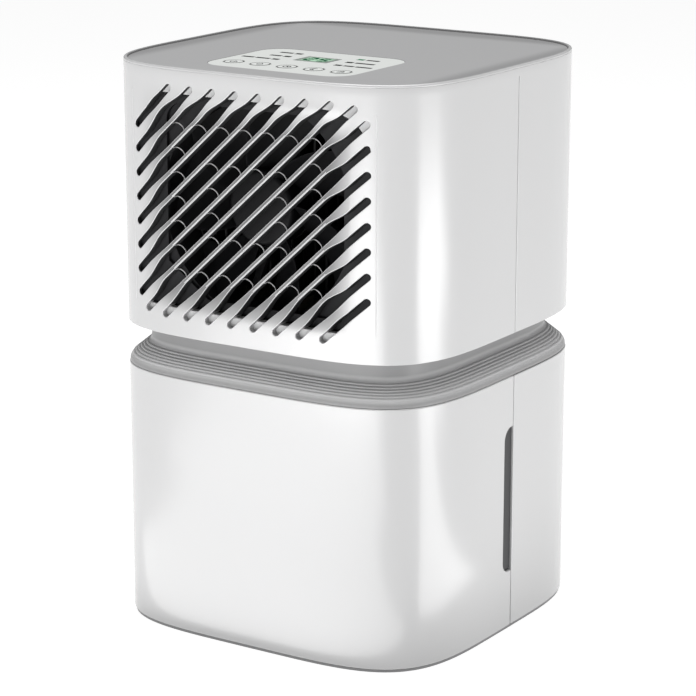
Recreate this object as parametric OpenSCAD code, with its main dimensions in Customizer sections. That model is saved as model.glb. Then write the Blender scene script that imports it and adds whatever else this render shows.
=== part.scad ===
// Small thermoelectric dehumidifier: a square, round-cornered upper housing with a diagonal
// grille and a fan, a ribbed waist, and a lower housing whose rear half is a pull-out water tank.
// Origin: centre of the footprint, on the surface that the feet stand on. +Z up, front faces -Y.

/* [Body outline] */
// Width of the housing across X
body_w = 200; // [190:1:210]
// Depth of the housing across Y
body_d = 197; // [190:1:206]
// Squareness of the outline, 2 is an ellipse
squareness = 4.286; // [4:0.1:5]
// Overall height
body_h = 303.3; // [302:0.1:306]
// Thickness of the outer walls
wall = 2.2; // [1.8:0.1:2.6]

/* [Levels] */
// Bottom edge of the upper housing
upper_z = 163.1; // [162:0.1:164]
// Top edge of the lower housing
lower_z = 140.4; // [139.8:0.1:140.4]
// Place of the side seam between front and rear shells, along Y
seam_y = 3.5; // [2:0.5:6]

/* [Waist] */
// How far the neck stands in from the housing
neck_inset = 12; // [10:0.5:13]
// Number of stepped ribs on the flare under the neck
rib_count = 6; // [4:1:7]

/* [Grille] */
// Slot width at its ends
slot_w = 3.9; // [3.4:0.1:4.4]
// Extra slot width in the middle of the grille
slot_swell = 3.3; // [1:0.1:3.5]
// Slope of the slots in degrees
slot_angle = 42.3; // [40:0.1:45]
// Distance between slots along X
slot_pitch = 14; // [13.5:0.1:14.2]
// Height of the grille centre
grille_z = 233.2; // [232:0.1:234]
// Depth of the shallow dish in the grille
dish_depth = 3; // [1:0.5:4]

/* [Tank] */
// Height of the tank tub
tub_top = 114; // [100:1:114]

/* [Fan] */
// Width of the square fan frame
fan_w = 120; // [116:1:120]
// Number of fan blades
blade_count = 7; // [5:1:9]

/* [Hidden] */

eps = 0.01;
far = 400;
outline_steps = 24;            // points in each quarter of the outline
gap = 0.4;                     // play between parts that move past each other
seam_gap = 0.35;               // width of the joint line between shells

// Upper housing
ring_z = body_h - 5.8;         // lower edge of the unbroken ring at the top
rim_w = 2.05;                  // width of the white rim round the top cover
ledge_w = 2.6;
cover_z0 = ring_z + 2.2;
cover_z1 = body_h - 1;

// Control panel, in the top cover
panel_w = 88;
panel_y = [-75.5, -7];
panel_r = 13;
panel_z0 = cover_z1 - 1.4;
panel_z1 = cover_z1 - 0.1;
key_r = 5.4;
key_y = -59;
key_pitch = 16.5;
key_z0 = cover_z0 - 1.6;
key_travel = 0.8;
led_x = 19.3;
led_y = [-19.3, -30.3, -41.2];
window_size = [20.6, 15.6];
window_y = -31;
board_z = key_z0 - 3.8;
board_t = 1.6;

// Grille
back_y = -90.3;                // flat back of the thick grille panel
grille_panel = [156, 122];
slot_half = [70, 59.2];        // the slot ends lie on this rounded rectangle
slot_corner = 12;
slot_rise = slot_pitch * tan(slot_angle);
slot_gap = slot_pitch * sin(slot_angle);
swell_up = 0.86;               // share of the extra width on the upper side of a slot
swell_half = [62, 56];         // the extra width fades out before this rectangle
swell_fade = 12;
open_half = [72.2, 56];        // the slots go right through inside this rounded rectangle
open_corner = [21.7, 10];      // upper right and lower left, upper left and lower right
floor_depth = 3.6;             // depth of the blind slot ends
web_t = 0.7;
web_back = -89.2;              // rearmost point of the curved webs
web_shift = 1.3;               // how far the webs stand off the rows, down along the slots

// Fan and cooler, from front to back along Y
shroud_y = [-89, -87];
shroud_open = [108.6, 101.5];
shroud_half = [73.4, 60.5];
shroud_at = [71.2, 58.2];      // screws of the shroud, from the grille centre
fan_y = [-86.9, -62];
rotor_y = [fan_y[0] + 3.2, fan_y[1] - 4];
hot_y = [-60, -30, -26];       // fin tips, fin roots, back of the base
peltier_y = [-26, -22];
cold_y = [-22, -18, 20];       // base, fin roots, fin tips
sink_z = grille_z;

// Waist
neck_z = 152.2;
web_z = [lower_z + 0.2, lower_z + 1.8];
flange_z = [upper_z + 0.3, upper_z + 2.5];
drip_at = [0, 5];
housing_at = [93, 40];         // screws through the flange into the upper shells
boss_top = flange_z[1] + 12;

// Lower housing
skin_z0 = 1.8;
plate_z = [0.25, 1.5, 4];
slit_y0 = -5;
slit_z = [33, 112.6];
slit_r = [4, 7];
foot_at = 70;
boss_at = [60, -83.5];
chassis_y = [-84.5, -82.5];

// Tank
tub_front = -77;
tub_inset = wall + 1;
window_inset = 1.3;            // the level window stands this far in from the housing
window_play = 0.8;
tub_wall = 2;
tub_z0 = plate_z[2] + gap;
tub_floor = tub_z0 + 2.5;
seal_z = [tub_top, tub_top + 1];
lid_z = [tub_top + 1, tub_top + 3];
skirt_z0 = tub_top - 4;
plug_at = [52, 62];
plug_r = 11.7;
pivot = [0, tub_front + 18, tub_top - 18];
pin_r = 1.5;
tail_y = [pivot[1] - 13.5, pivot[1] - 5];

// Point of the outline whose outward normal points at angle t
function outline_pt(t) =
  let (a = body_w / 2)
  let (b = body_d / 2)
  let (m = squareness / (squareness - 1))
  let (c = a * cos(t))
  let (s = b * sin(t))
  let (h = pow(pow(abs(c), m) + pow(abs(s), m), 1 / m))
  [a * sign(c) * pow(abs(c) / h, m - 1), b * sign(s) * pow(abs(s) / h, m - 1)];

// Normal angles, closer together on the flat sides
function normal_at(i) =
  let (u = i / outline_steps)
  90 * (u - 0.7 * sin(360 * u) / 360 * 57.2958);

function outline(inset) = [
  for (i = [0 : 4 * outline_steps - 1])
    let (t = normal_at(i))
    outline_pt(t) - inset * [cos(t), sin(t)]
];

module slab(inset, z0, z1) {
  translate([0, 0, z0]) linear_extrude(z1 - z0) polygon(outline(inset));
}

module wall_ring(inset, thick, z0, z1) {
  difference() {
    slab(inset, z0, z1);
    slab(inset + thick, z0 - 1, z1 + 1);
  }
}

module front_of(y) {
  translate([-far / 2, y - far, -far / 2]) cube([far, far, 2 * far]);
}

module behind(y) {
  translate([-far / 2, y, -far / 2]) cube([far, far, 2 * far]);
}

module box_at(lo, hi) {
  translate(lo) cube(hi - lo);
}

module rounded_rect(w, d, r) {
  square([w - 2 * r, d], center = true);
  square([w, d - 2 * r], center = true);
  for (x = [-1, 1], y = [-1, 1])
    translate([x * (w / 2 - r), y * (d / 2 - r)]) circle(r, $fn = 48);
}

// A cylinder along Y from y0 to y1
module rod_y(x, z, r, y0, y1, sides = 48) {
  translate([x, y0, z]) rotate([-90, 0, 0]) cylinder(r = r, h = y1 - y0, $fn = sides);
}

// Rows of fins standing along +Y between y0 and y1
module fins(count, pitch, thick, height, y0, y1) {
  for (i = [0 : count - 1])
    translate([(i - (count - 1) / 2) * pitch - thick / 2, y0, sink_z - height / 2])
      cube([thick, y1 - y0, height]);
}

// ---------- grille ----------

// Extra width of a slot, as a share, fading out near the edge of the dish
function ease(u) = u <= 0 ? 0 : u >= 1 ? 1 : u * u * (3 - 2 * u);
function swell(x, z) =
  slot_swell * ease((swell_half[0] - abs(x)) / swell_fade) * ease((swell_half[1] - abs(z)) / swell_fade);

// Position from the grille centre of a point s along slot k, p across it
function slot_xz(k, s, p) =
  let (q = k * slot_gap + p)
  [s * cos(slot_angle) + q * sin(slot_angle), s * sin(slot_angle) - q * cos(slot_angle)];

// Whether a point from the grille centre is inside the rounded rectangle of the slot ends
function in_grille(c) =
  norm([for (i = [0, 1]) max(abs(c[i]) - slot_half[i] + slot_corner, 0)]) < slot_corner;

// Where slot k ends on one side, found by halving
function slot_reach(k, side, near = 0, beyond = 120, turns = 14) =
  let (s = (near + beyond) / 2)
  turns == 0 ? side * near
  : in_grille(slot_xz(k, side * s, 0)) ? slot_reach(k, side, s, beyond, turns - 1)
  : slot_reach(k, side, near, s, turns - 1);

// Outline of slot k in the X-Z plane
function slot_outline(k) =
  let (s0 = slot_reach(k, -1))
  let (s1 = slot_reach(k, 1))
  let (steps = 16)
  let (middle = [for (i = [0 : steps]) s0 + (s1 - s0) * i / steps])
  let (extra = [for (s = middle) let (c = slot_xz(k, s, 0)) swell(c[0], c[1])])
  concat(
    [for (i = [0 : steps]) slot_xz(k, middle[i], slot_w / 2 + (1 - swell_up) * extra[i])],
    [for (t = [30 : 30 : 150]) slot_xz(k, s1 + slot_w / 2 * sin(t), slot_w / 2 * cos(t))],
    [for (i = [steps : -1 : 0]) slot_xz(k, middle[i], -slot_w / 2 - swell_up * extra[i])],
    [for (t = [30 : 30 : 150]) slot_xz(k, s0 - slot_w / 2 * sin(t), -slot_w / 2 * cos(t))]
  );

// Extrudes an X-Z outline about the grille centre from y0 to y1
module along_y(y0, y1) {
  translate([0, y1, grille_z]) rotate([90, 0, 0]) linear_extrude(y1 - y0) children();
}

module slot_prisms(y1) {
  for (k = [-8 : 8]) along_y(-110, y1) polygon(slot_outline(k));
}

// The area of the grille where the slots go right through
module open_area() {
  rounded_rect(2 * open_half[0], 2 * open_half[1], open_corner[0]);
  for (side = [-1, 1])
    translate([side * open_half[0], -side * open_half[1]] / 2)
      rounded_rect(open_half[0], open_half[1], open_corner[1]);
}

// Slots that go right through in the open area, and are blind pockets above and below it
module slots() {
  intersection() {
    slot_prisms(back_y + 1);
    along_y(-111, back_y + 2) open_area();
  }
  difference() {
    slot_prisms(back_y - 1);
    slab(floor_depth, upper_z, body_h);
  }
}

module dish() {
  hull() {
    along_y(-body_d / 2 - 1, -body_d / 2 - 0.9) square([132, 112], center = true);
    along_y(-body_d / 2 + dish_depth - 0.1, -body_d / 2 + dish_depth)
      square([106, 84], center = true);
  }
}

// Half-ring ties behind the slats, each across one slot, in two squares round the grille centre
module web(i, j) {
  r = slot_gap / 2;
  off = -slot_swell * (swell_up - 0.5);
  at = [i * slot_pitch, j * slot_rise] + off * [sin(slot_angle), -cos(slot_angle)]
    - web_shift * [cos(slot_angle), sin(slot_angle)];
  translate([at[0], web_back - r, grille_z + at[1]])
    rotate([0, 90 - slot_angle, 0]) translate([0, 0, -web_t / 2])
      rotate_extrude(angle = 180, $fn = 48) translate([r - web_t, 0]) square(web_t);
}

module webs() {
  for (i = [-3 : 3], j = [-3 : 3])
    if (abs(i) == 3 || abs(j) == 3) web(i, j);
  for (i = [-1.5 : 1.5], j = [-1.5 : 1.5])
    if (abs(i) == 1.5 || abs(j) == 1.5) web(i, j);
}

// ---------- upper housing ----------

// Screw boss on the inside of an upper shell
module shell_boss(y) {
  for (x = [-housing_at[0], housing_at[0]])
    translate([x, y, flange_z[1] + 0.05]) cylinder(r = 5, h = boss_top - flange_z[1], $fn = 48);
}

module shell_boss_bore(y) {
  for (x = [-housing_at[0], housing_at[0]])
    translate([x, y, flange_z[0]]) cylinder(r = 1.55, h = 12, $fn = 32);
}

module each_shroud_screw() {
  for (x = [-shroud_at[0], shroud_at[0]], z = [-shroud_at[1], shroud_at[1]])
    translate([x, 0, grille_z + z]) children();
}

module upper_front_shell() color("white") {
  difference() {
    union() {
      intersection() {
        wall_ring(0, wall, upper_z, ring_z + eps);
        front_of(seam_y);
      }
      intersection() {
        slab(wall - eps, grille_z - grille_panel[1] / 2, grille_z + grille_panel[1] / 2);
        box_at([-grille_panel[0] / 2, -110, 0], [grille_panel[0] / 2, back_y, body_h]);
      }
      wall_ring(0, rim_w, ring_z, body_h);
      wall_ring(rim_w - eps, ledge_w, ring_z, cover_z0);
      shell_boss(-housing_at[1]);
      each_shroud_screw() rod_y(0, 0, 2.8, back_y - eps, shroud_y[0], 32);
    }
    slots();
    dish();
    shell_boss_bore(-housing_at[1]);
    each_shroud_screw() rod_y(0, 0, 1.25, back_y - 1.1, back_y + 3, 32);
  }
  webs();
}

module inlet_slots() {
  for (x = [-34, 34], j = [-5 : 5]) {
    z = grille_z + j * 9;
    translate([x - 24, 80, z - 2]) cube([48, 30, 4]);
    for (e = [-24, 24]) rod_y(x + e, z, 2, 80, 110, 24);
  }
}

module upper_rear_cover() color("white") {
  difference() {
    union() {
      intersection() {
        wall_ring(0, wall, upper_z, ring_z - seam_gap);
        behind(seam_y + seam_gap);
      }
      shell_boss(housing_at[1]);
    }
    shell_boss_bore(housing_at[1]);
    inlet_slots();
    rod_y(jack_at[0], jack_at[1], jack_r + 0.1, 80, 110);
  }
}

module panel_outline(grow) {
  translate([0, (panel_y[0] + panel_y[1]) / 2])
    rounded_rect(panel_w + 2 * grow, panel_y[1] - panel_y[0] + 2 * grow, panel_r + grow);
}

module each_key() {
  for (i = [-2 : 2]) translate([i * key_pitch, key_y, 0]) children();
}

module each_led() {
  for (x = [-led_x, led_x], y = led_y) translate([x, y, 0]) children();
}

module window_hole(grow, z0, z1) {
  translate([-window_size[0] / 2 - grow, window_y - window_size[1] / 2 - grow, z0])
    cube([window_size[0] + 2 * grow, window_size[1] + 2 * grow, z1 - z0]);
}

module each_board_post() {
  for (x = [-38, 38], y = [-68, -16]) translate([x, y, 0]) children();
}

module top_cover() color("darkgray") {
  each_board_post() {
    translate([0, 0, board_z + board_t])
      cylinder(r = 2.8, h = cover_z0 + 0.2 - board_z - board_t, $fn = 32);
    translate([0, 0, board_z]) cylinder(r = 1.5, h = board_t + 1, $fn = 32);
  }
  difference() {
    slab(rim_w + 0.15, cover_z0 + 0.1, cover_z1);
    translate([0, 0, panel_z0 - 0.1]) linear_extrude(9) panel_outline(0.15);
    each_key() translate([0, 0, cover_z0 - 1]) cylinder(r = key_r + 0.4, h = 9, $fn = 48);
    each_led() translate([-2.3, -1, cover_z0 - 1]) cube([4.6, 2, 9]);
    window_hole(-0.6, cover_z0 - 1, body_h + 1);
  }
}

module control_panel() color("gainsboro") {
  difference() {
    translate([0, 0, panel_z0]) linear_extrude(panel_z1 - panel_z0) panel_outline(0);
    each_key() translate([0, 0, panel_z0 - 1]) cylinder(r = key_r + 0.35, h = 9, $fn = 48);
    each_led() translate([-2.1, -0.85, panel_z0 - 1]) cube([4.2, 1.7, 9]);
    window_hole(0.1, panel_z0 - 1, body_h + 1);
  }
}

module key(i) color("gainsboro") {
  translate([i * key_pitch, key_y, key_z0]) {
    cylinder(r = key_r, h = panel_z1 - key_z0, $fn = 48);
    cylinder(r = key_r + 1, h = 1, $fn = 48);
  }
}

module key_power() key(-2);
module key_mode() key(-1);
module key_timer() key(0);
module key_sleep() key(1);
module key_lock() key(2);

module display_window() color("dimgray") {
  window_hole(0, panel_z0 + 0.1, panel_z1);
}

module display_module() color("black") {
  box_at([-9.5, window_y - 7, board_z + board_t], [9.5, window_y + 7, panel_z0 - 0.2]);
}

module led_guides() color("dimgray") {
  each_led() translate([-2, -0.75, board_z + board_t]) cube([4, 1.5, panel_z1 - board_z - board_t]);
}

module control_board() color("darkgreen") {
  difference() {
    box_at([-42, -72, board_z], [42, -12, board_z + board_t]);
    each_board_post() translate([0, 0, board_z - 1]) cylinder(r = 1.6, h = 4, $fn = 24);
  }
}

module tact_switches() color("silver") {
  each_key() translate([0, 0, board_z + board_t]) {
    translate([-3, -3, 0]) cube([6, 6, 1]);
    translate([0, 0, 1 - eps])
      cylinder(r = 1.7, h = key_z0 - key_travel - board_z - board_t - 1.3, $fn = 32);
  }
}

// ---------- fan and cooler ----------

module fan_shroud() color("dimgray") {
  difference() {
    along_y(shroud_y[0], shroud_y[1]) square(2 * shroud_half, center = true);
    along_y(shroud_y[0] - 1, shroud_y[1] + 1) difference() {
      rounded_rect(shroud_open[0], shroud_open[1], 10);
      polygon([[-60, -60], [-54.3 + 25, -60], [-54.3 + 25, -50.75],
               [-54.3, -50.75 + 18], [-60, -50.75 + 18]]);
    }
    each_fan_corner() rod_y(0, 0, 2.05, shroud_y[0] - 1, shroud_y[1] + 1, 32);
    each_shroud_screw() rod_y(0, 0, 1.4, shroud_y[0] - 1, shroud_y[1] + 1, 32);
  }
}

module shroud_screws() color("silver") {
  each_shroud_screw() {
    rod_y(0, 0, 1.2, back_y - 1, shroud_y[1] + eps, 32);
    rod_y(0, 0, 2.4, shroud_y[1], shroud_y[1] + 1.4, 32);
  }
}

module each_fan_corner() {
  for (x = [-52.5, 52.5], z = [-52.5, 52.5]) translate([x, 0, grille_z + z]) children();
}

module fan_frame() color("dimgray") {
  difference() {
    union() {
      difference() {
        along_y(fan_y[0], fan_y[1]) rounded_rect(fan_w, fan_w, 6);
        rod_y(0, grille_z, 57.5, fan_y[0] - 1, fan_y[1] + 1, 96);
      }
      for (a = [20 : 90 : 290])
        translate([0, 0, grille_z]) rotate([0, a, 0]) box_at([19, fan_y[1] - 3, -2], [58.5, fan_y[1], 2]);
      rod_y(0, grille_z, 20, fan_y[1] - 3, fan_y[1]);
    }
    each_fan_corner() rod_y(0, 0, 2.15, fan_y[0] - 1, fan_y[1] + 1, 32);
  }
}

shaft_r = 1.5;

module fan_motor() color("peru") {
  difference() {
    union() {
      rod_y(0, grille_z, 5, rotor_y[0] + 3, fan_y[1] - 3);
      for (a = [0 : 60 : 300])
        translate([0, 0, grille_z]) rotate([0, a, 0])
          box_at([4, rotor_y[0] + 5, -2.5], [15.5, rotor_y[1] - 1, 2.5]);
    }
    rod_y(0, grille_z, shaft_r + 0.05, fan_y[0], fan_y[1]);
  }
}

blade_pitch = 34;

// One blade: a tilted plate, later trimmed to the ring between hub and frame
module blade(a) {
  rotate([0, a, 0]) translate([17, (rotor_y[0] + rotor_y[1]) / 2, 0])
    rotate([-blade_pitch, 0, 0]) translate([0, -0.8, -15]) cube([45, 1.6, 30]);
}

module fan_rotor() color([0.2, 0.2, 0.21]) {
  difference() {
    rod_y(0, grille_z, 19.5, rotor_y[0], rotor_y[1]);
    rod_y(0, grille_z, 17, rotor_y[0] + 2, rotor_y[1] + 1);
  }
  rod_y(0, grille_z, shaft_r, rotor_y[0] + 1.9, fan_y[1] - 3.4);
  intersection() {
    translate([0, 0, grille_z]) for (i = [0 : blade_count - 1]) blade(i * 360 / blade_count);
    difference() {
      rod_y(0, grille_z, 56.3, rotor_y[0], rotor_y[1], 96);
      rod_y(0, grille_z, 19, fan_y[0], fan_y[1], 48);
    }
  }
}

module fan_screws() color("silver") {
  each_fan_corner() {
    rod_y(0, 0, 2, shroud_y[0], fan_y[1], 32);
    rod_y(0, 0, 3.8, fan_y[1], fan_y[1] + 1.8, 32);
  }
}

clamp_at = 28;

module clamp_holes(r) {
  for (x = [-clamp_at, clamp_at]) rod_y(x, sink_z, r, -61, 30, 32);
}

module hot_heatsink() color("silver") {
  difference() {
    union() {
      box_at([-54, hot_y[1], sink_z - 50], [54, hot_y[2], sink_z + 50]);
      fins(16, 7, 1.4, 100, hot_y[0], hot_y[1] + eps);
    }
    clamp_holes(1.6);
  }
}

module peltier_module() color("white") {
  box_at([-20, peltier_y[0], sink_z - 20], [20, peltier_y[1], sink_z + 20]);
}

module insulation_panel() color("khaki") {
  difference() {
    box_at([-62, peltier_y[0], flange_z[1]], [62, peltier_y[1], sink_z + 56]);
    box_at([-20.2, -30, sink_z - 20.2], [20.2, -18, sink_z + 20.2]);
    box_at([20, lead_y - 1.4, lead_z[0] - 2], [63, lead_y + 1.4, lead_z[1] + 2]);
    clamp_holes(1.6);
  }
}

module cold_heatsink() color("silver") {
  difference() {
    union() {
      box_at([-42, cold_y[0], sink_z - 42], [42, cold_y[1], sink_z + 42]);
      fins(13, 6.6, 1.4, 84, cold_y[1] - eps, cold_y[2]);
    }
    clamp_holes(1.6);
    for (x = [-clamp_at, clamp_at]) rod_y(x, sink_z, 3.4, cold_y[1], 30, 32);
  }
}

module clamp_screws() color("silver") {
  for (x = [-clamp_at, clamp_at]) {
    rod_y(x, sink_z, 1.5, hot_y[1] + 0.5, cold_y[1], 32);
    rod_y(x, sink_z, 3, cold_y[1], cold_y[1] + 2.2, 32);
  }
}

tray_z = [flange_z[1] + 2, flange_z[1] + 11];

module drip_tray() color("whitesmoke") {
  difference() {
    union() {
      box_at([-50, cold_y[0] + 0.5, tray_z[0]], [50, cold_y[2] + 12, tray_z[1]]);
      translate([drip_at[0], drip_at[1], web_z[1] + 3])
        cylinder(r = 6, h = tray_z[0] - web_z[1] - 2.9, $fn = 48);
    }
    box_at([-48.4, cold_y[0] + 2.1, tray_z[0] + 1.6], [48.4, cold_y[2] + 10.4, tray_z[1] + 1]);
    translate([drip_at[0], drip_at[1], web_z[1]]) cylinder(r = 4.4, h = 60, $fn = 48);
  }
}

// ---------- electronics ----------

main_x = 72;

module main_board() color("darkgreen") {
  difference() {
    box_at([main_x, 24, flange_z[1]], [main_x + 1.6, 74, 246]);
    for (y = [29, 69], z = [flange_z[1] + 8, 241])
      translate([main_x - 1, y, z]) rotate([0, 90, 0]) cylinder(r = 1.6, h = 4, $fn = 24);
  }
}

module board_parts() color("black") {
  box_at([main_x - 16, 34, 176], [main_x, 60, 198]);
  box_at([main_x - 8, 32, 222], [main_x, 44, 236]);
  for (y = [38, 52])
    translate([main_x - 20, y, 210]) rotate([0, 90, 0]) cylinder(r = 5, h = 20, $fn = 32);
}

jack_r = 5.6;
jack_bore = 3.2;
jack_at = [58, 177];

module dc_jack() color([0.15, 0.15, 0.15]) {
  difference() {
    union() {
      rod_y(jack_at[0], jack_at[1], jack_r, 92, 95.7);
      box_at([jack_at[0] - 6.5, 80, jack_at[1] - 6.5], [jack_at[0] + 6.5, 92 + eps, jack_at[1] + 6.5]);
    }
    rod_y(jack_at[0], jack_at[1], jack_bore, 84, 100);
  }
  rod_y(jack_at[0], jack_at[1], 1.05, 83.9, 95, 24);
}

// Square-section wire through a list of points, each leg along one axis
module wire(points, r) {
  last = len(points) - 2;
  for (i = [0 : last]) {
    d = points[i + 1] - points[i];
    u = d / norm(d);
    from = points[i] - (i == 0 ? 0 : r) * u;
    to = points[i + 1] + (i == last ? 0 : r) * u;
    side = r * [for (a = [0 : 2]) 1 - abs(u[a])];
    lo = [for (a = [0 : 2]) min(from[a], to[a])];
    hi = [for (a = [0 : 2]) max(from[a], to[a])];
    box_at(lo - side, hi + side);
  }
}

module panel_ribbon() color("lightgray") {
  box_at([30, -20, board_z - 0.8], [40, 50, board_z]);
  box_at([30, 40, board_z - 0.8], [main_x, 50, board_z]);
  box_at([main_x - 0.8, 40, 240], [main_x, 50, board_z]);
}

module fan_cable() color("black") {
  wire([[fan_w / 2, -75, 190], [80, -75, 190], [80, 40, 190], [main_x + 1.6, 40, 190]], 1.3);
}

lead_y = (peltier_y[0] + peltier_y[1]) / 2;
lead_z = [sink_z - 14, sink_z - 10];

module cooler_leads() color("firebrick") {
  for (z = lead_z) wire([[20, lead_y, z], [66, lead_y, z], [66, 29, z], [main_x, 29, z]], 0.9);
}

module power_leads() color("black") {
  for (z = [jack_at[1] - 2, jack_at[1] + 2])
    wire([[jack_at[0] + 6.5, 86, z], [69, 86, z], [69, 70, z], [main_x, 70, z]], 0.9);
}

// ---------- waist and lower housing ----------

neck_t = 2.6;
rib_h = (neck_z - web_z[0]) / rib_count;
function rib_inset(i) = (neck_inset - 1.6) * pow(1 - i / (rib_count - 1), 1.15) + 0.4;

// How far in rib i reaches, so that it laps under the one above
function rib_inner(i) = i == 0 ? neck_inset + neck_t : rib_inset(i - 1) + 1.6;
deck_inset = rib_inner(rib_count - 1);

// Floor of the upper housing
module waist_flange() color("darkgray") {
  difference() {
    slab(wall + gap, flange_z[0], flange_z[1]);
    box_at([-58, -50, flange_z[0] - 1], [58, 50, flange_z[1] + 1]);
    for (x = [-housing_at[0], housing_at[0]], y = [-housing_at[1], housing_at[1]])
      translate([x, y, flange_z[0] - 1]) cylinder(r = 1.7, h = 5, $fn = 32);
  }
}

module waist_neck() color("darkgray") {
  wall_ring(neck_inset, neck_t, neck_z, flange_z[0]);
}

// Stepped trim ring under the neck, which stands in its top rib
module waist_ribs() color("darkgray") {
  for (i = [0 : rib_count - 1]) {
    top = neck_z - i * rib_h;
    wall_ring(rib_inset(i), rib_inner(i) - rib_inset(i), top - rib_h, i == 0 ? top : top + eps);
  }
}

// Deck over the lower housing, inside the trim ring
module waist_floor() color("darkgray") {
  difference() {
    slab(deck_inset, web_z[0], web_z[1]);
    translate([drip_at[0], drip_at[1], web_z[0] - 1]) cylinder(r = 9, h = 4, $fn = 48);
    for (x = [-boss_at[0], boss_at[0]])
      translate([x, boss_at[1], web_z[0] - 1]) cylinder(r = 1.7, h = 4, $fn = 32);
  }
}

// Outline in Y-Z of the level slit, or of the window that stands in it with some play
function slit_outline(y1, play) =
  let (low = [slit_y0, slit_z[0]] + slit_r[0] * [1, 1])
  let (high = [slit_y0 + slit_r[1], slit_z[1] - slit_r[1]])
  concat(
    [[y1, slit_z[0] + play]],
    [for (t = [270 : -15 : 180]) low + (slit_r[0] - play) * [cos(t), sin(t)]],
    [for (t = [180 : -15 : 90]) high + (slit_r[1] - play) * [cos(t), sin(t)]],
    [[y1, slit_z[1] - play]]
  );

// Extrudes a Y-Z outline along X
module along_side(x0, x1) {
  translate([x0, 0, 0]) rotate([90, 0, 90]) linear_extrude(x1 - x0) children();
}

module lower_front_shell() color("white") {
  difference() {
    intersection() {
      wall_ring(0, wall, skin_z0, lower_z);
      front_of(seam_y);
    }
    along_side(90, 110) polygon(slit_outline(seam_y + 5, 0));
  }
}

module chassis_frame() color("darkgray") {
  difference() {
    union() {
      box_at([-80, chassis_y[0], plate_z[2]], [80, chassis_y[1], web_z[0] - 0.1]);
      for (x = [-boss_at[0], boss_at[0]])
        translate([x, boss_at[1], plate_z[2]]) cylinder(r = 4.2, h = web_z[0] - 0.1 - plate_z[2], $fn = 48);
    }
    for (x = [-boss_at[0], boss_at[0]]) {
      translate([x, boss_at[1], plate_z[2] - 1]) cylinder(r = 1.5, h = 15, $fn = 32);
      translate([x, boss_at[1], web_z[0] - 14]) cylinder(r = 1.5, h = 15, $fn = 32);
    }
  }
}

module each_foot() {
  for (x = [-foot_at, foot_at], y = [-foot_at, foot_at]) translate([x, y, 0]) children();
}

module base_plate() color("dimgray") {
  difference() {
    union() {
      slab(0.8, plate_z[0], plate_z[1] + eps);
      slab(wall + 0.6, plate_z[1], plate_z[2]);
    }
    each_foot() translate([0, 0, -1]) cylinder(r = 8, h = 3.4, $fn = 48);
    for (x = [-boss_at[0], boss_at[0]]) translate([x, boss_at[1], 0]) {
      translate([0, 0, -1]) cylinder(r = 1.6, h = 9, $fn = 32);
      translate([0, 0, -1]) cylinder(r = 3.4, h = 3.2, $fn = 32);
    }
  }
}

module rubber_feet() color([0.2, 0.2, 0.2]) {
  each_foot() cylinder(r = 7.8, h = 2.4, $fn = 48);
}

module case_screws() color("silver") {
  for (x = [-boss_at[0], boss_at[0]]) translate([x, boss_at[1], 0]) {
    translate([0, 0, 0.6]) cylinder(r = 3, h = 1.6, $fn = 32);
    translate([0, 0, 2.1]) cylinder(r = 1.5, h = 14, $fn = 32);
    translate([0, 0, web_z[1]]) cylinder(r = 3, h = 1.6, $fn = 32);
    translate([0, 0, web_z[1] - 12]) cylinder(r = 1.5, h = 12.1, $fn = 32);
  }
}

module housing_screws() color("silver") {
  for (x = [-housing_at[0], housing_at[0]], y = [-housing_at[1], housing_at[1]]) translate([x, y, 0]) {
    translate([0, 0, flange_z[0] - 1.5]) cylinder(r = 2.6, h = 1.5, $fn = 32);
    translate([0, 0, flange_z[0] - 0.1]) cylinder(r = 1.5, h = 11.5, $fn = 32);
  }
}

module tank_sensor() color("black") {
  box_at([-9, chassis_y[1], pivot[2] - 8], [9, chassis_y[1] + 4, pivot[2] + 8]);
}

// ---------- tank ----------

module tank_tub() color([0.45, 0.47, 0.5]) {
  difference() {
    union() {
      difference() {
        intersection() {
          slab(tub_inset, tub_z0, tub_top);
          behind(tub_front);
        }
        intersection() {
          slab(tub_inset + tub_wall, tub_floor, tub_top + 1);
          behind(tub_front + tub_wall);
        }
      }
      along_side(body_w / 2 - tub_inset - 1, body_w / 2 - window_inset) 
        polygon(slit_outline(seam_y + seam_gap, window_play));
      for (x = [-8, 5])
        box_at([x, tub_front + tub_wall - eps, pivot[2] - 5], [x + 3, pivot[1] + 4, pivot[2] + 5]);
      box_at([-5.5, tub_front + tub_wall - eps, pivot[2] + 1.8],
             [5.5, tub_front + tub_wall + 5, pivot[2] + 4]);
    }
    translate([-10, pivot[1], pivot[2]]) rotate([0, 90, 0]) cylinder(r = pin_r, h = 20, $fn = 32);
  }
}

module tank_rear_cover() color("white") {
  difference() {
    intersection() {
      union() {
        wall_ring(0, wall, skin_z0 + 0.1, lower_z - 0.2);
        for (z = [20, 60, 100]) wall_ring(wall - eps, tub_inset - wall + eps, z, z + 5);
      }
      behind(seam_y + seam_gap);
    }
    along_rear(119, 136) square([60, 17], center = true);
  }
}

// Stadium cut through the rear wall between two heights
module along_rear(z0, z1) {
  r = (z1 - z0) / 2;
  translate([0, 120, (z0 + z1) / 2]) rotate([90, 0, 0]) linear_extrude(40) {
    children();
    for (x = [-30, 30]) translate([x, 0]) circle(r = r, $fn = 48);
  }
}

module tub_mouth(inset, z0, z1) {
  intersection() {
    slab(tub_inset + inset, z0, z1);
    behind(tub_front + inset);
  }
}

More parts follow.
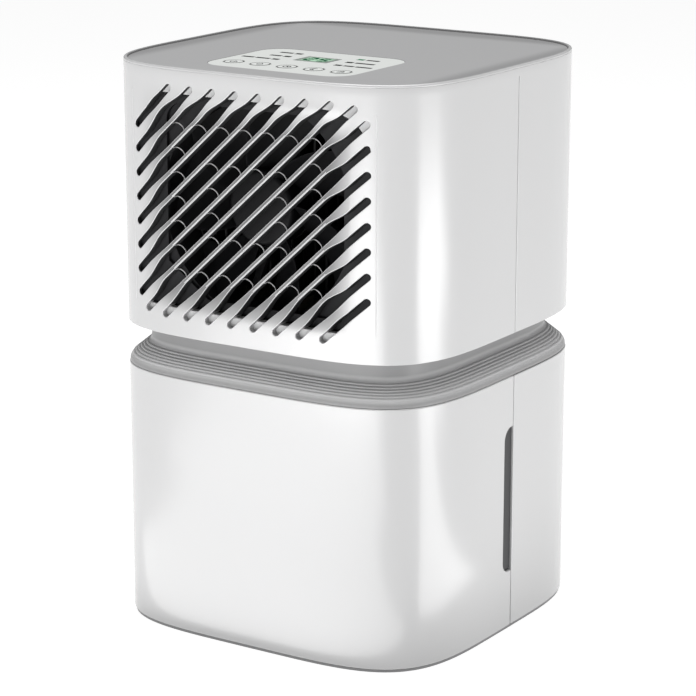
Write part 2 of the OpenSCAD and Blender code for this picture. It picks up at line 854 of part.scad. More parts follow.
module tank_lid() color("darkgray") {
  difference() {
    union() {
      tub_mouth(0, lid_z[0], lid_z[1]);
      difference() {
        tub_mouth(tub_wall + 0.4, skirt_z0, lid_z[0] + eps);
        tub_mouth(tub_wall + 2, skirt_z0 - 1, lid_z[0]);
      }
      translate([drip_at[0], drip_at[1], lid_z[0]]) cylinder(r = 17, h = 4, $fn = 48);
    }
    translate([drip_at[0], drip_at[1], lid_z[0] - 1]) cylinder(r = 15, h = 8, $fn = 48);
    translate([plug_at[0], plug_at[1], lid_z[0] - 1]) cylinder(r = plug_r + 0.3, h = 8, $fn = 48);
  }
}

module lid_seal() color([0.25, 0.25, 0.25]) {
  difference() {
    tub_mouth(0.2, seal_z[0], seal_z[1]);
    tub_mouth(tub_wall - 0.2, seal_z[0] - 1, seal_z[1] + 1);
  }
}

module drain_plug() color([0.25, 0.25, 0.25]) {
  translate([plug_at[0], plug_at[1], 0]) {
    translate([0, 0, lid_z[1] - 5]) cylinder(r = plug_r, h = 5, $fn = 48);
    translate([0, 0, lid_z[1]]) cylinder(r = plug_r + 3, h = 1.6, $fn = 48);
    translate([-8, -1.5, lid_z[1] + 1.5]) cube([16, 3, 4.5]);
  }
}

module float_pin() color("silver") {
  translate([-8, pivot[1], pivot[2]]) rotate([0, 90, 0]) cylinder(r = pin_r, h = 16, $fn = 32);
}

module float_arm() color("whitesmoke") {
  difference() {
    union() {
      translate([-4.5, pivot[1], pivot[2]]) rotate([0, 90, 0]) cylinder(r = 3.5, h = 9, $fn = 32);
      box_at([-3, pivot[1], pivot[2] - 1.5], [3, pivot[1] + 34, pivot[2] + 1.5]);
      box_at([-4.4, tail_y[0], pivot[2] - 3], [4.4, pivot[1], pivot[2] + 1.5]);
    }
    translate([-10, pivot[1], pivot[2]]) rotate([0, 90, 0]) cylinder(r = pin_r + 0.05, h = 20, $fn = 32);
    rod_y(0, magnet_z, magnet_r, tail_y[0] - 1, tail_y[0] + magnet_l, 32);
  }
}

magnet_r = 1.8;
magnet_l = 4;
magnet_z = pivot[2] - 0.75;
float_y = [pivot[1] + 14, pivot[1] + 38];
float_z = [pivot[2] - 16, pivot[2] - 1.5];

module float_block() color("ivory") {
  box_at([-13, float_y[0], float_z[0]], [13, float_y[1], float_z[1]]);
}

module float_magnet() color("dimgray") {
  rod_y(0, magnet_z, magnet_r, tail_y[0], tail_y[0] + magnet_l, 32);
}

upper_front_shell();
upper_rear_cover();
top_cover();
control_panel();
key_power();
key_mode();
key_timer();
key_sleep();
key_lock();
display_window();
display_module();
led_guides();
control_board();
tact_switches();
fan_shroud();
shroud_screws();
fan_frame();
fan_motor();
fan_rotor();
fan_screws();
hot_heatsink();
peltier_module();
insulation_panel();
cold_heatsink();
clamp_screws();
drip_tray();
main_board();
board_parts();
dc_jack();
panel_ribbon();
fan_cable();
cooler_leads();
power_leads();
waist_flange();
waist_neck();
waist_ribs();
waist_floor();
lower_front_shell();
chassis_frame();
base_plate();
rubber_feet();
case_screws();
housing_screws();
tank_sensor();
tank_tub();
tank_rear_cover();
tank_lid();
lid_seal();
drain_plug();
float_pin();
float_arm();
float_block();
float_magnet();
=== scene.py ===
"""Looks of a small dehumidifier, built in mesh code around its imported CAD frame.

Lengths inside this script are millimetres, and become metres when a mesh is made.
The outline of the housing is a superellipse. A point of its wall is given by u, the distance
along the outline from the middle of the front (positive towards +X), and by its height z.
"""
import math
import bpy
import numpy as np
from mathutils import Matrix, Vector, geometry, kdtree


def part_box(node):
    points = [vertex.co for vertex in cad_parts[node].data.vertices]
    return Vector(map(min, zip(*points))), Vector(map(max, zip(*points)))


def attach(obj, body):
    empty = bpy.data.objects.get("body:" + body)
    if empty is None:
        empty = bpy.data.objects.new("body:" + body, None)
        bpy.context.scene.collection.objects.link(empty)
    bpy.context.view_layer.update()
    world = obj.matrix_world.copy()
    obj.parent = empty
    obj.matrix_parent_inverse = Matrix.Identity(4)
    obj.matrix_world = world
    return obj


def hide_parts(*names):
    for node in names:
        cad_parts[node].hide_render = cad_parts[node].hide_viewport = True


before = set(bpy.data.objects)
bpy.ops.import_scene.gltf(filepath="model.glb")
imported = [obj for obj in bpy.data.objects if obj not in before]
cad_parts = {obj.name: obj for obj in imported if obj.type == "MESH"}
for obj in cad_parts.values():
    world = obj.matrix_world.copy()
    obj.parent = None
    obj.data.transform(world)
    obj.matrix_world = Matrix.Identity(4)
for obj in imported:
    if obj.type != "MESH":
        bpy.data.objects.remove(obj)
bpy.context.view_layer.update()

MM = 0.001


def span(node):
    """Lowest and highest corner of a CAD node in millimetres."""
    low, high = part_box(node)
    return np.array(low) / MM, np.array(high) / MM


def centre_of(node):
    low, high = span(node)
    return (low + high) / 2


# ---- sizes, from the frame

SHELL_LO, SHELL_HI = span("upper_front_shell")
LOWER_LO, LOWER_HI = span("lower_front_shell")
TANK_LO, TANK_HI = span("tank_rear_cover")
PANEL_LO, PANEL_HI = span("control_panel")
WINDOW_LO, WINDOW_HI = span("display_window")
WINDOW_X, WINDOW_Y = centre_of("display_window")[:2]
WINDOW_W, WINDOW_D = (WINDOW_HI - WINDOW_LO)[:2]
LED_LO, LED_HI = span("led_guides")
ROTOR_LO, ROTOR_HI = span("fan_rotor")
RIBS_Z = span("waist_ribs")[0][2]  # underside of the ribbed ring
FLANGE_Z = span("waist_flange")[0][2]  # underside of the upper housing's floor
BOARD_X, BOARD_BACK_X = (v[0] for v in span("main_board"))

HALF_W, HALF_D, TOP_Z = SHELL_HI
UPPER_Z = SHELL_LO[2]  # lower edge of the upper housing
LOWER_Z = LOWER_HI[2]  # upper edge of the lower housing
SQUARENESS = 4.286  # exponent of the outline
WALL = 2.2
SEAM_GAP = 0.35
RING_Z = span("upper_rear_cover")[1][2] + SEAM_GAP
RIM_W = 2.05  # width of the rim round the top cover
EDGE = 0.5  # radius of a moulded edge
FINE_EDGE = 0.35  # radius at the grille and on the keys
LOWER_EDGE = 0.7  # radius on the lower front shell
TANK_EDGE = 0.55
PANEL_EDGE = 0.15  # radius on the panel and the indicators
PRINT = 0.06  # height of printed marks above their surface
SUNK = 0.02  # how far printed marks reach into it

GRILLE_Z = centre_of("fan_frame")[2]
SLOT_W = 3.9  # a slot's width at its ends
SLOT_SWELL = 3.3  # how much wider it is over the air opening
SWELL_UP = 0.86  # the share of that on its upper side
SLOT_ANGLE = math.radians(42.3)
SLOT_PITCH = 14.0  # from slot to slot along X
SLOT_HALF = (70.0, 59.2)  # half sizes of the rectangle of the slots' ends
SLOT_CORNER = 12.0
SWELL_HALF = (62.0, 56.0)  # half sizes of the area where the slots are wider
SWELL_FADE = 12.0
GRILLE_BACK = -90.3  # y of the grille's flat back
DISH_Y = -HALF_D + 3.0  # y of the bottom of the shallow dish
DISH_HALF = 57.0  # half its height
DISH_FADE = 15.0
FRONT_X = 90.0  # half the width of what counts as the front
THICK_HALF = (78.0, 61.0)  # half sizes of the thick panel behind the grille
FLOOR_PAST = (6.5, 2.3)  # how far the slot floors reach past the slots' ends
OPEN_HALF = (74.7, 56.0)  # half sizes of the hole between the slot floors
OPEN_CORNERS = (10.0, 12.0, 30.0, 12.0)
CAP_DEPTH = 3.6  # depth of the slot floors
LONG = 120.0  # more than half of any slot
TIE_R = 0.28  # radius of the ties between slats
TIE_SHIFT = 1.3  # how far the ties sit down the slots
# The ribs are light beads on the ridge where each slat's two faces meet: a real edge, shown lighter as a
# painted highlight.
HIGHLIGHT_RIB_R = 0.18  # radius of the rib along a slat
HIGHLIGHT_RIB_SHIFT = 0.5  # how far the ribs sit below the middle of a slat
HIGHLIGHT_RIB_INSET = 14.0  # how far inside the wide area the ribs end


# ---- outline of the housing

def outline_table():
    """Points and normals of the right half of the outline, from the front's middle to the back's."""
    t = np.linspace(0, 1, 3001)
    share = t ** 4 / (t ** 4 + (1 - t) ** 4)
    angle = np.radians(np.concatenate([-90 + 90 * share, 90 * share[1:]]))
    m = SQUARENESS / (SQUARENESS - 1)
    c, s = HALF_W * np.cos(angle), HALF_D * np.sin(angle)
    c[0], c[-1], s[t.size - 1] = 0, 0, 0
    h = (np.abs(c) ** m + np.abs(s) ** m) ** (1 / m)
    x = HALF_W * np.sign(c) * (np.abs(c) / h) ** (m - 1)
    y = HALF_D * np.sign(s) * (np.abs(s) / h) ** (m - 1)
    u = np.concatenate([[0], np.cumsum(np.hypot(np.diff(x), np.diff(y)))])
    return u, x, y, angle


TAB_U, TAB_X, TAB_Y, TAB_A = outline_table()
HALF_U = TAB_U[-1]
QUARTER = (TAB_U.size + 1) // 2


def outline(u):
    """Point and outward normal of the outline at u, which may run on past the back's middle."""
    u = (np.asarray(u, float) + HALF_U) % (2 * HALF_U) - HALF_U
    side = np.where(u < 0, -1.0, 1.0)
    a = np.abs(u)
    angle = np.interp(a, TAB_U, TAB_A)
    point = np.stack([np.interp(a, TAB_U, TAB_X) * side, np.interp(a, TAB_U, TAB_Y)], -1)
    return point, np.stack([np.cos(angle) * side, np.sin(angle)], -1)


def u_of_x(x):
    """u of the front's point at x."""
    return np.sign(x) * np.interp(np.abs(x), TAB_X[:QUARTER], TAB_U[:QUARTER])


def u_of_y(y):
    """u of the right side's point at y."""
    return float(np.interp(y, TAB_Y, TAB_U))


SEAM_U = u_of_y(LOWER_HI[1])  # back edge of the front shells


def columns(step=3.0, turn=2.5):
    """Places right round the outline, at most step apart and turn degrees from each other."""
    fine = np.linspace(0, 2 * HALF_U, 4001)
    _, n = outline(fine)
    bend = np.degrees(np.abs(np.arcsin(np.clip(n[:-1, 0] * n[1:, 1] - n[:-1, 1] * n[1:, 0], -1, 1))))
    run = np.concatenate([[0], np.cumsum(np.diff(fine) / step + bend / turn)])
    count = max(2, int(math.ceil(run[-1])) + 1)
    return np.interp(np.linspace(0, run[-1], count), run, fine)[:-1]


# ---- meshes

def add_object(name, data):
    """A new object in the scene."""
    obj = bpy.data.objects.new(name, data)
    bpy.context.scene.collection.objects.link(obj)
    return obj


class Build:
    """Collects faces with their corner normals, and makes one mesh of them.

    paint is the number of the material that the faces added next will have.
    """

    def __init__(self):
        self.points, self.faces, self.normals, self.paints = [], [], [], []
        self.count = 0
        self.paint = 0

    def add(self, points, faces, normals=None):
        """Adds points and faces. normals is one per point, or None for flat faces."""
        points = np.asarray(points, float).reshape(-1, 3)
        self.points.append(points)
        for f in faces:
            self.faces.append([i + self.count for i in f])
            self.paints.append(self.paint)
            if normals is None:
                n = flat_normal(points[list(f)])
                self.normals.extend([n] * len(f))
            else:
                self.normals.extend(normals[i] for i in f)
        self.count += len(points)

    def band(self, points, normals):
        """Quads through closed rings of points. A ring runs to the right, and the next lies above it."""
        points, normals = np.asarray(points, float), np.asarray(normals, float)
        rows, cols = points.shape[:2]
        faces = []
        for r in range(rows - 1):
            for c in range(cols):
                d = (c + 1) % cols
                faces.append((r * cols + c, r * cols + d, (r + 1) * cols + d, (r + 1) * cols + c))
        self.add(points.reshape(-1, 3), faces, normals.reshape(-1, 3))

    def tube(self, rows, normals=None):
        """A closed tube through rings of points, counterclockwise seen against its run."""
        rows = np.asarray(rows, float)
        if normals is None:
            around = np.roll(rows, -1, axis=1) - np.roll(rows, 1, axis=1)
            normals = unit(np.cross(around, np.gradient(rows, axis=0)))
        self.band(rows, normals)
        ring = list(range(rows.shape[1]))
        self.add(rows[0], [ring[::-1]])
        self.add(rows[-1], [ring])

    def finish(self, name, materials, *nodes, body="housing", slot="housing_white"):
        """Makes the object, which rides on body and stands for the CAD nodes."""
        co = np.concatenate(self.points)
        _, first, index = np.unique(np.round(co, 3), axis=0, return_index=True, return_inverse=True)
        index = index.ravel()
        faces, loops, paints, at = [], [], [], 0
        for f, paint in zip(self.faces, self.paints):
            g = [int(index[i]) for i in f]
            keep = [k for k in range(len(g)) if g[k] != g[k - 1]]
            if len(keep) > 2 and len({g[k] for k in keep}) == len(keep):
                faces.append([g[k] for k in keep])
                paints.append(paint)
                loops.extend(self.normals[at + k] for k in keep)
            at += len(f)
        mesh = bpy.data.meshes.new(name)
        mesh.from_pydata((co[first] * MM).tolist(), [], faces)
        mesh.polygons.foreach_set("use_smooth", [True] * len(mesh.polygons))
        mesh.polygons.foreach_set("material_index", paints)
        mesh.normals_split_custom_set([tuple(n) for n in loops])
        mesh.update()
        obj = add_object(name, mesh)
        for m in materials:
            mesh.materials.append(m)
        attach(obj, body)
        if nodes:
            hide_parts(*nodes)


def flat_normal(p):
    """The normal of a face of any shape."""
    n = np.cross(p - p[0], np.roll(p, -1, axis=0) - p[0]).sum(0)
    return n / (np.linalg.norm(n) or 1)


def unit(v):
    return v / np.maximum(np.linalg.norm(v, axis=-1, keepdims=True), 1e-12)


def arc_corner(before, corner, after, r, step=15):
    """Points of a rounded corner of an outline."""
    before, corner, after = (np.array(p, float) for p in (before, corner, after))
    a, b = unit(before - corner), unit(after - corner)
    half = math.acos(max(-1, min(1, float(a @ b)))) / 2
    if r <= 0 or half > math.pi / 2 - 1e-3:
        return [corner]
    reach = r / math.tan(half)
    centre = corner + unit(a + b) * (r / math.sin(half))
    start, end = corner + a * reach - centre, corner + b * reach - centre
    a0, a1 = math.atan2(start[1], start[0]), math.atan2(end[1], end[0])
    turn = (a1 - a0 + math.pi) % (2 * math.pi) - math.pi
    count = max(2, int(abs(math.degrees(turn)) / step) + 1)
    return [centre + r * np.array([math.cos(a0 + turn * k / count), math.sin(a0 + turn * k / count)])
            for k in range(count + 1)]


def rounded_loop(corners, step=3.0):
    """A closed outline through corners (x, y, r), with its straight stretches divided."""
    pts, n = [], len(corners)
    for i, (x, y, r) in enumerate(corners):
        pts.extend(arc_corner(corners[i - 1][:2], (x, y), corners[(i + 1) % n][:2], r))
    out = []
    for p, q in zip(pts, pts[1:] + pts[:1]):
        out.append(p)
        more = int(np.linalg.norm(q - p) / step)
        out.extend(p + (q - p) * k / (more + 1) for k in range(1, more + 1))
    return np.array(out)


def rect_loop(cx, cy, w, h, r, step=3.0):
    x0, x1, y0, y1 = cx - w / 2, cx + w / 2, cy - h / 2, cy + h / 2
    return rounded_loop([(x0, y0, r), (x1, y0, r), (x1, y1, r), (x0, y1, r)], step)


def circle_loop(cx, cy, r, count=64):
    t = np.arange(count) * 2 * math.pi / count
    return np.stack([cx + r * np.cos(t), cy + r * np.sin(t)], -1)


def left_normals(loop):
    """Unit normals on the left of a closed outline, into the material of an outer loop."""
    along = unit(np.roll(loop, -1, axis=0) - loop)
    left = np.stack([-along[:, 1], along[:, 0]], -1)
    return unit(left + np.roll(left, 1, axis=0))


def inside(points, loop):
    """Which points lie inside a closed outline."""
    hit = np.zeros(len(points), bool)
    low, high = loop.min(0), loop.max(0)
    near = np.where(((points >= low) & (points <= high)).all(1))[0]
    a, b = loop, np.roll(loop, -1, axis=0)
    for part in np.array_split(near, max(1, len(near) * len(loop) // 4_000_000 + 1)):
        p = points[part]
        crosses = (a[None, :, 1] > p[:, None, 1]) != (b[None, :, 1] > p[:, None, 1])
        run = (b[:, 1] - a[:, 1])
        run = np.where(run == 0, 1e-30, run)
        at = a[None, :, 0] + (p[:, None, 1] - a[None, :, 1]) * (b[:, 0] - a[:, 0])[None] / run[None]
        hit[part] = (crosses & (p[:, None, 0] < at)).sum(1) % 2 == 1
    return hit


def fill(loops, spacing, clear):
    """Triangles of the area inside the first loop and outside the others.

    Returns the loops' points and a grid of inner points after them, and the triangles.
    """
    own = np.concatenate(loops)
    edges, at = [], 0
    for loop in loops:
        n = len(loop)
        edges.extend((at + i, at + (i + 1) % n) for i in range(n))
        at += n
    xs = [np.linspace(lo, hi, max(2, int((hi - lo) / s) + 2))[1:-1]
          for lo, hi, s in zip(loops[0].min(0), loops[0].max(0), spacing)]
    grid = np.stack(np.meshgrid(*xs), -1).reshape(-1, 2)
    grid = grid[inside(grid, loops[0])]
    for hole in loops[1:]:
        grid = grid[~inside(grid, hole)]
    tree = kdtree.KDTree(len(own))
    for i, p in enumerate(own):
        tree.insert((p[0], p[1], 0), i)
    tree.balance()
    grid = np.array([p for p in grid if tree.find((p[0], p[1], 0))[2] > clear]).reshape(-1, 2)
    pts = np.concatenate([own, grid])
    _, _, faces, origin, _, _ = geometry.delaunay_2d_cdt([Vector(p) for p in pts], edges, [], 0, 1e-6)
    source = [o[0] if o else -1 for o in origin]
    if -1 in source:
        raise ValueError("an outline crosses itself or another one")
    tri = np.array([[source[i] for i in f] for f in faces])
    a, b, c = pts[tri[:, 0]], pts[tri[:, 1]], pts[tri[:, 2]]
    area = (b[:, 0] - a[:, 0]) * (c[:, 1] - a[:, 1]) - (b[:, 1] - a[:, 1]) * (c[:, 0] - a[:, 0])
    tri[area < 0] = tri[area < 0][:, ::-1]
    middle = (a + b + c) / 3
    keep = (np.abs(area) > 1e-7) & inside(middle, loops[0])
    for hole in loops[1:]:
        keep &= ~inside(middle, hole)
    return pts, tri[keep]


def solid(build, loops, surface, back, r, spacing=(3, 6), steps=3, dive=None, paints=(0, 0, 0)):
    """A plate with rounded front edges that follows a surface.

    loops: the outer outline counterclockwise, then the holes clockwise, in the surface's own
    two coordinates. surface(p) gives points, normals and the directions of both coordinates.
    back(p, k) gives the points of the back, for loop k or for inner points when k is None.
    dive(p) gives the direction in which the walls of loop k > 0 go down, the normal if None.
    paints are the paints of the front, of the edges of the holes and of their walls.
    """
    front, edge, deep = paints
    build.paint = front
    lefts = [left_normals(loop) for loop in loops]
    inner = [loop + left * r for loop, left in zip(loops, lefts)]
    pts, tri = fill(inner, spacing, clear=0.45 * min(spacing))
    p, n, _, _ = surface(pts)
    build.add(p, tri.tolist(), n)
    q, at = [], 0
    for k, (loop, left) in enumerate(zip(loops, lefts)):
        rows, normals = [], []
        for j in range(steps + 1):
            a = math.radians(90) * (1 - j / steps)
            p, n, e1, e2 = surface(loop + left * r * (1 - math.cos(a)))
            side = -(e1 * left[:, :1] + e2 * left[:, 1:])
            down = -n if dive is None or k == 0 else dive(loop)
            rows.append(p + down * r * (1 - math.sin(a)))
            normals.append(n * math.sin(a) + side * math.cos(a))
        foot = back(loop, k)
        wall = [rows[-1], foot]
        build.paint = edge if k else front
        build.band(np.array(rows)[::-1], np.array(normals)[::-1])
        build.paint = deep if k else front
        build.band(np.array(wall)[::-1], np.array([normals[-1]] * 2))
        q.append(foot)
        at += len(loop)
    build.paint = front
    rear = np.concatenate(q + [back(pts[at:], None)])
    build.add(rear, tri[:, ::-1].tolist())


def wall_surface(p):
    """The housing's outer surface at (u, z)."""
    xy, n = outline(p[:, 0])
    zero, one = np.zeros(len(p)), np.ones(len(p))
    return (np.column_stack([xy, p[:, 1]]), np.column_stack([n, zero]),
            np.column_stack([-n[:, 1], n[:, 0], zero]), np.column_stack([zero, zero, one]))


def wall_back(p, _):
    """The inner side of the housing's wall."""
    point, normal, _, _ = wall_surface(p)
    return point - normal * WALL


def flat_surface(z):
    """A level surface with coordinates (x, y)."""
    def surface(p):
        ones, zero = np.ones(len(p)), np.zeros(len(p))
        return (np.column_stack([p, ones * z]), np.column_stack([zero, zero, ones]),
                np.column_stack([ones, zero, zero]), np.column_stack([zero, ones, zero]))
    return surface


def flat_back(z):
    return lambda p, _: np.column_stack([p, np.ones(len(p)) * z])


def print_line(build, path, half, z, closed=False):
    """A printed line through the points (x, y) of a path, on a surface at height z."""
    path = np.array(path, float)
    if closed:
        run = unit(np.roll(path, -1, axis=0) - np.roll(path, 1, axis=0))
    else:
        run = unit(np.gradient(path, axis=0))
    left = np.stack([-run[:, 1], run[:, 0]], -1) * half
    sides = (path - left, path + left)
    (a0, b0), (a1, b1) = ([np.column_stack([p, np.full(len(p), height)]) for p in sides]
                          for height in (z - SUNK, z + PRINT))
    quads = [(0, 1, 2, 3)]
    count = len(path)
    for i in range(count if closed else count - 1):
        k = (i + 1) % count
        for p, q in ((a1, b1), (b0, a0), (a0, a1), (b1, b0)):
            build.add([p[i], p[k], q[k], q[i]], quads)
    if not closed:
        build.add([b0[0], a0[0], a1[0], b1[0]], quads)
        build.add([a0[-1], b0[-1], b1[-1], a1[-1]], quads)


def arc(cx, cy, r, a0, a1, count=17):
    t = np.radians(np.linspace(a0, a1, count))
    return np.stack([cx + r * np.cos(t), cy + r * np.sin(t)], -1)


def bands(profile, flip):
    """For each side of a closed profile, the numbers of its two ends, and their places and normals.

    The profile runs counterclockwise once its two values are multiplied by flip. A third value of
    1 makes a point a sharp corner.
    """
    out = np.array([p[:2] for p in profile]) * flip
    along = unit(np.roll(out, -1, axis=0) - out)
    right = np.stack([along[:, 1], -along[:, 0]], -1)
    for i in range(len(profile)):
        ends = (i, (i + 1) % len(profile))
        yield ends, [(*out[m], *(right[i] if len(profile[m]) > 2 else unit(right[m] + right[m - 1])))
                     for m in ends]


def lathe_y(build, profile, z, count=96):
    """Turns a closed profile of (radius, y) about the axis along Y at x = 0 and height z."""
    t = np.arange(count) * 2 * math.pi / count
    c, s = np.cos(t), np.sin(t)
    for _, ends in bands(profile, (1, -1)):
        rows = [np.column_stack([r * c, np.full(count, -y), z + r * s]) for r, y, _, _ in ends]
        normals = [np.column_stack([n * c, np.full(count, -m), n * s]) for _, _, n, m in ends]
        build.band(rows, normals)


def loft(build, profile, inner=None):
    """Sweeps a closed profile of (inset, z) right round the outline.

    Faces further in than inner take the second material.
    """
    at = columns()
    xy, normal = outline(at)
    for (i, k), ends in bands(profile, (-1, 1)):
        rows = [np.column_stack([xy + normal * x, np.full(len(at), z)]) for x, z, _, _ in ends]
        normals = [np.column_stack([normal * n, np.full(len(at), m)]) for _, _, n, m in ends]
        build.paint = int(inner is not None and min(profile[i][0], profile[k][0]) > inner)
        build.band(rows, normals)


def rounded_profile(corners):
    """A closed profile through (inset, z, r), where r = 0 keeps the corner sharp."""
    out = []
    for i, (a, b, r) in enumerate(corners):
        if r == 0:
            out.append((a, b, 1))
        else:
            after = corners[(i + 1) % len(corners)][:2]
            out.extend(tuple(p) for p in arc_corner(corners[i - 1][:2], (a, b), after, r, step=22.5))
    return out


# ---- materials

COAT_IOR = 1.8  # makes the glossy paint mirror the lamps as clearly as the real one
TONE_SIZE = 40.0
ROUGH_SPREAD = 0.07  # how far the roughness strays from its mean
GRAIN_DEPTH = 0.15  # depth of the grain for its size
DULL_COAT = 0.3  # the share of the coat that is left inside a region
ALL_X = 300.0  # a half size wider than the housing


def add_node(mat, kind, inputs, **settings):
    """Adds a shader node. inputs maps its sockets to values, or to the sockets that feed them."""
    node = mat.node_tree.nodes.new("ShaderNode" + kind)
    for name, value in settings.items():
        setattr(node, name, value)
    for name, value in inputs.items():
        if isinstance(value, bpy.types.NodeSocket):
            mat.node_tree.links.new(value, node.inputs[name])
        else:
            node.inputs[name].default_value = value
    return node


def material(name, colour, rough, *, metal=0.0, specular=0.5, coat=0.0, coat_rough=0.1,
             grain=(0.0, 0.25), tone=0.0, glow=None, glow_strength=0.0):
    """A procedural material: a moulded grain in the bump, and slow tone and roughness changes.

    grain is its strength and its size in millimetres.
    """
    grain_depth, grain_size = grain
    mat = bpy.data.materials.new(name)
    mat.use_nodes = True
    shader = mat.node_tree.nodes["Principled BSDF"]
    for socket, value in (("Metallic", metal), ("Specular IOR Level", specular), ("Coat Weight", coat),
                          ("Coat Roughness", coat_rough), ("Coat IOR", COAT_IOR)):
        shader.inputs[socket].default_value = value
    if glow:
        shader.inputs["Emission Color"].default_value = (*glow, 1)
        shader.inputs["Emission Strength"].default_value = glow_strength
    links = mat.node_tree.links
    place = add_node(mat, "TexCoord", {}).outputs["Object"]
    noises = (add_node(mat, "TexNoise", {"Scale": 1 / (size * MM), "Detail": detail, "Vector": place})
              for size, detail in ((TONE_SIZE, 3), (grain_size, 2)))
    slow, fine = (noise.outputs["Fac"] for noise in noises)
    darker, lighter = ((*[min(1, v * share) for v in colour], 1) for share in (1 - tone, 1 + tone))
    mix = add_node(mat, "Mix", {"A": darker, "B": lighter, "Factor": slow}, data_type="RGBA")
    links.new(mix.outputs["Result"], shader.inputs["Base Color"])
    uneven = add_node(mat, "MapRange", {
        "From Min": 0.3, "From Max": 0.7, "To Min": rough * (1 - ROUGH_SPREAD),
        "To Max": min(1, rough * (1 + ROUGH_SPREAD)), "Value": fine})
    links.new(uneven.outputs["Result"], shader.inputs["Roughness"])
    if grain_depth:
        bump = add_node(mat, "Bump", {
            "Strength": grain_depth, "Distance": grain_size * MM * GRAIN_DEPTH, "Height": fine})
        links.new(bump.outputs["Normal"], shader.inputs["Normal"])
    return mat


def region_material(mat, inner, middle, half, fade, glow=0.0):
    """Blends a material's colour to another inside a rectangle in X and in one of Y or Z.

    middle is (x, y, z) with None for the unused one, half holds the two half sizes of the
    rectangle and fade the width of its soft border, all in millimetres. A coat grows duller
    there, and glow is the strength of a light in the inner colour.
    """
    links = mat.node_tree.links
    shader = mat.node_tree.nodes["Principled BSDF"]
    place = add_node(mat, "TexCoord", {}).outputs["Object"]
    split = add_node(mat, "SeparateXYZ", {"Vector": place})
    shares = []
    for axis, size in zip([a for a in range(3) if middle[a] is not None], half):
        shift = add_node(mat, "Math", {0: split.outputs[axis], 1: middle[axis] * MM}, operation="SUBTRACT")
        away = add_node(mat, "Math", {0: shift.outputs[0]}, operation="ABSOLUTE")
        share = add_node(mat, "MapRange", {
            "Value": away.outputs[0], "From Min": size * MM, "From Max": (size - fade) * MM},
            interpolation_type="SMOOTHSTEP")
        shares.append(share.outputs["Result"])
    both = add_node(mat, "Math", dict(enumerate(shares)), operation="MULTIPLY").outputs[0]
    outside = shader.inputs["Base Color"].links[0].from_socket
    blend = add_node(mat, "Mix", {"Factor": both, "A": outside, "B": (*inner, 1)}, data_type="RGBA")
    links.new(blend.outputs["Result"], shader.inputs["Base Color"])
    coat = shader.inputs["Coat Weight"].default_value
    if coat:
        duller = add_node(mat, "MapRange", {"To Min": coat, "To Max": DULL_COAT * coat, "Value": both})
        links.new(duller.outputs["Result"], shader.inputs["Coat Weight"])
    if glow:
        power = add_node(mat, "Math", {0: both, 1: glow}, operation="MULTIPLY")
        links.new(power.outputs[0], shader.inputs["Emission Strength"])
        shader.inputs["Emission Color"].default_value = (*inner, 1)
    return mat


SHELL_LOOK = {"coat": 1.0, "coat_rough": 0.2, "grain": (0.18, 0.4), "tone": 0.008}
TRIM_LOOK = {"grain": (0.3, 0.35)}
PRINT_LOOK = {"tone": 0.05, "specular": 0.0}

WHITE = material("white_shell", (0.53, 0.53, 0.533), 0.4, **SHELL_LOOK)
# Painted shade: the slat fronts darken to grey towards the grille's middle, and their coat grows duller
# there.
SLAT_PAINTED_SHADE = region_material(
    material("grille_front_painted_shade", (0.53, 0.53, 0.533), 0.4, **SHELL_LOOK),
    inner=(0.13, 0.13, 0.132), middle=(0, None, GRILLE_Z), half=(70, 62), fade=24)
# Painted shade: near black for the walls of the rear air slots and the jack hole.
SHADE = material("slot_side", (0.035, 0.035, 0.036), 0.6, grain=(0.2, 0.4), tone=0.05,
                 specular=0.2)
# Painted shade: the grille's slot walls are near black, except at the lowest slot ends, which keep a light
# grey.
SLOT_WALL_PAINTED_SHADE = region_material(
    material("slot_wall_painted_shade", (0.42, 0.42, 0.423), 0.6, grain=(0.2, 0.4), tone=0.01,
             specular=0.2),
    inner=(0.035, 0.035, 0.036), middle=(0, None, GRILLE_Z + 10), half=(ALL_X, 66), fade=2)
CAP = material("slot_floor", (0.66, 0.66, 0.664), 0.45, grain=(0.18, 0.4), tone=0.01)
GREY = material("grey_trim", (0.32, 0.32, 0.323), 0.6, tone=0.012, **TRIM_LOOK)
# Painted highlight: a light band across the waist's ribs and fillet, between darker grey above and below.
NECK_PAINTED_HIGHLIGHT = region_material(
    material("grey_waist_painted_highlight", (0.27, 0.27, 0.272), 0.4, tone=0.015, **TRIM_LOOK),
    inner=(0.52, 0.52, 0.523), middle=(0, None, RIBS_Z + 7.6), half=(ALL_X, 6.4), fade=2.2)
# Painted shade: the top cover darkens towards its sides and back, along the rim.
COVER_PAINTED_SHADE = region_material(
    material("grey_cover_painted_shade", (0.225, 0.225, 0.227), 0.6, tone=0.012, **TRIM_LOOK),
    inner=(0.32, 0.32, 0.323), middle=(0, -12, None), half=(93, 100), fade=12)
BASE = material("base_grey", (0.27, 0.27, 0.273), 0.5, tone=0.02, **TRIM_LOOK)
PALE = material("panel_pale", (0.58, 0.595, 0.58), 0.6, grain=(0.12, 0.3), tone=0.008,
                specular=0.1)
KEY = material("key_pale", (0.61, 0.625, 0.61), 0.55, grain=(0.1, 0.3), tone=0.008,
               specular=0.1)
INK = material("print_dark", (0.03, 0.03, 0.032), 0.7, **PRINT_LOOK)
INK_GREY = material("print_grey", (0.045, 0.045, 0.046), 0.7, **PRINT_LOOK)
WINDOW = region_material(
    material("display_smoke", (0.2, 0.215, 0.205), 0.5, tone=0.02, specular=0.15),
    inner=(0.36, 0.58, 0.41), middle=(WINDOW_X, WINDOW_Y, None), half=(9.5, 7.5), fade=4, glow=0.03)
DIGIT = material("digit_green", (0.02, 0.1, 0.05), 0.6, tone=0.02, specular=0.0)
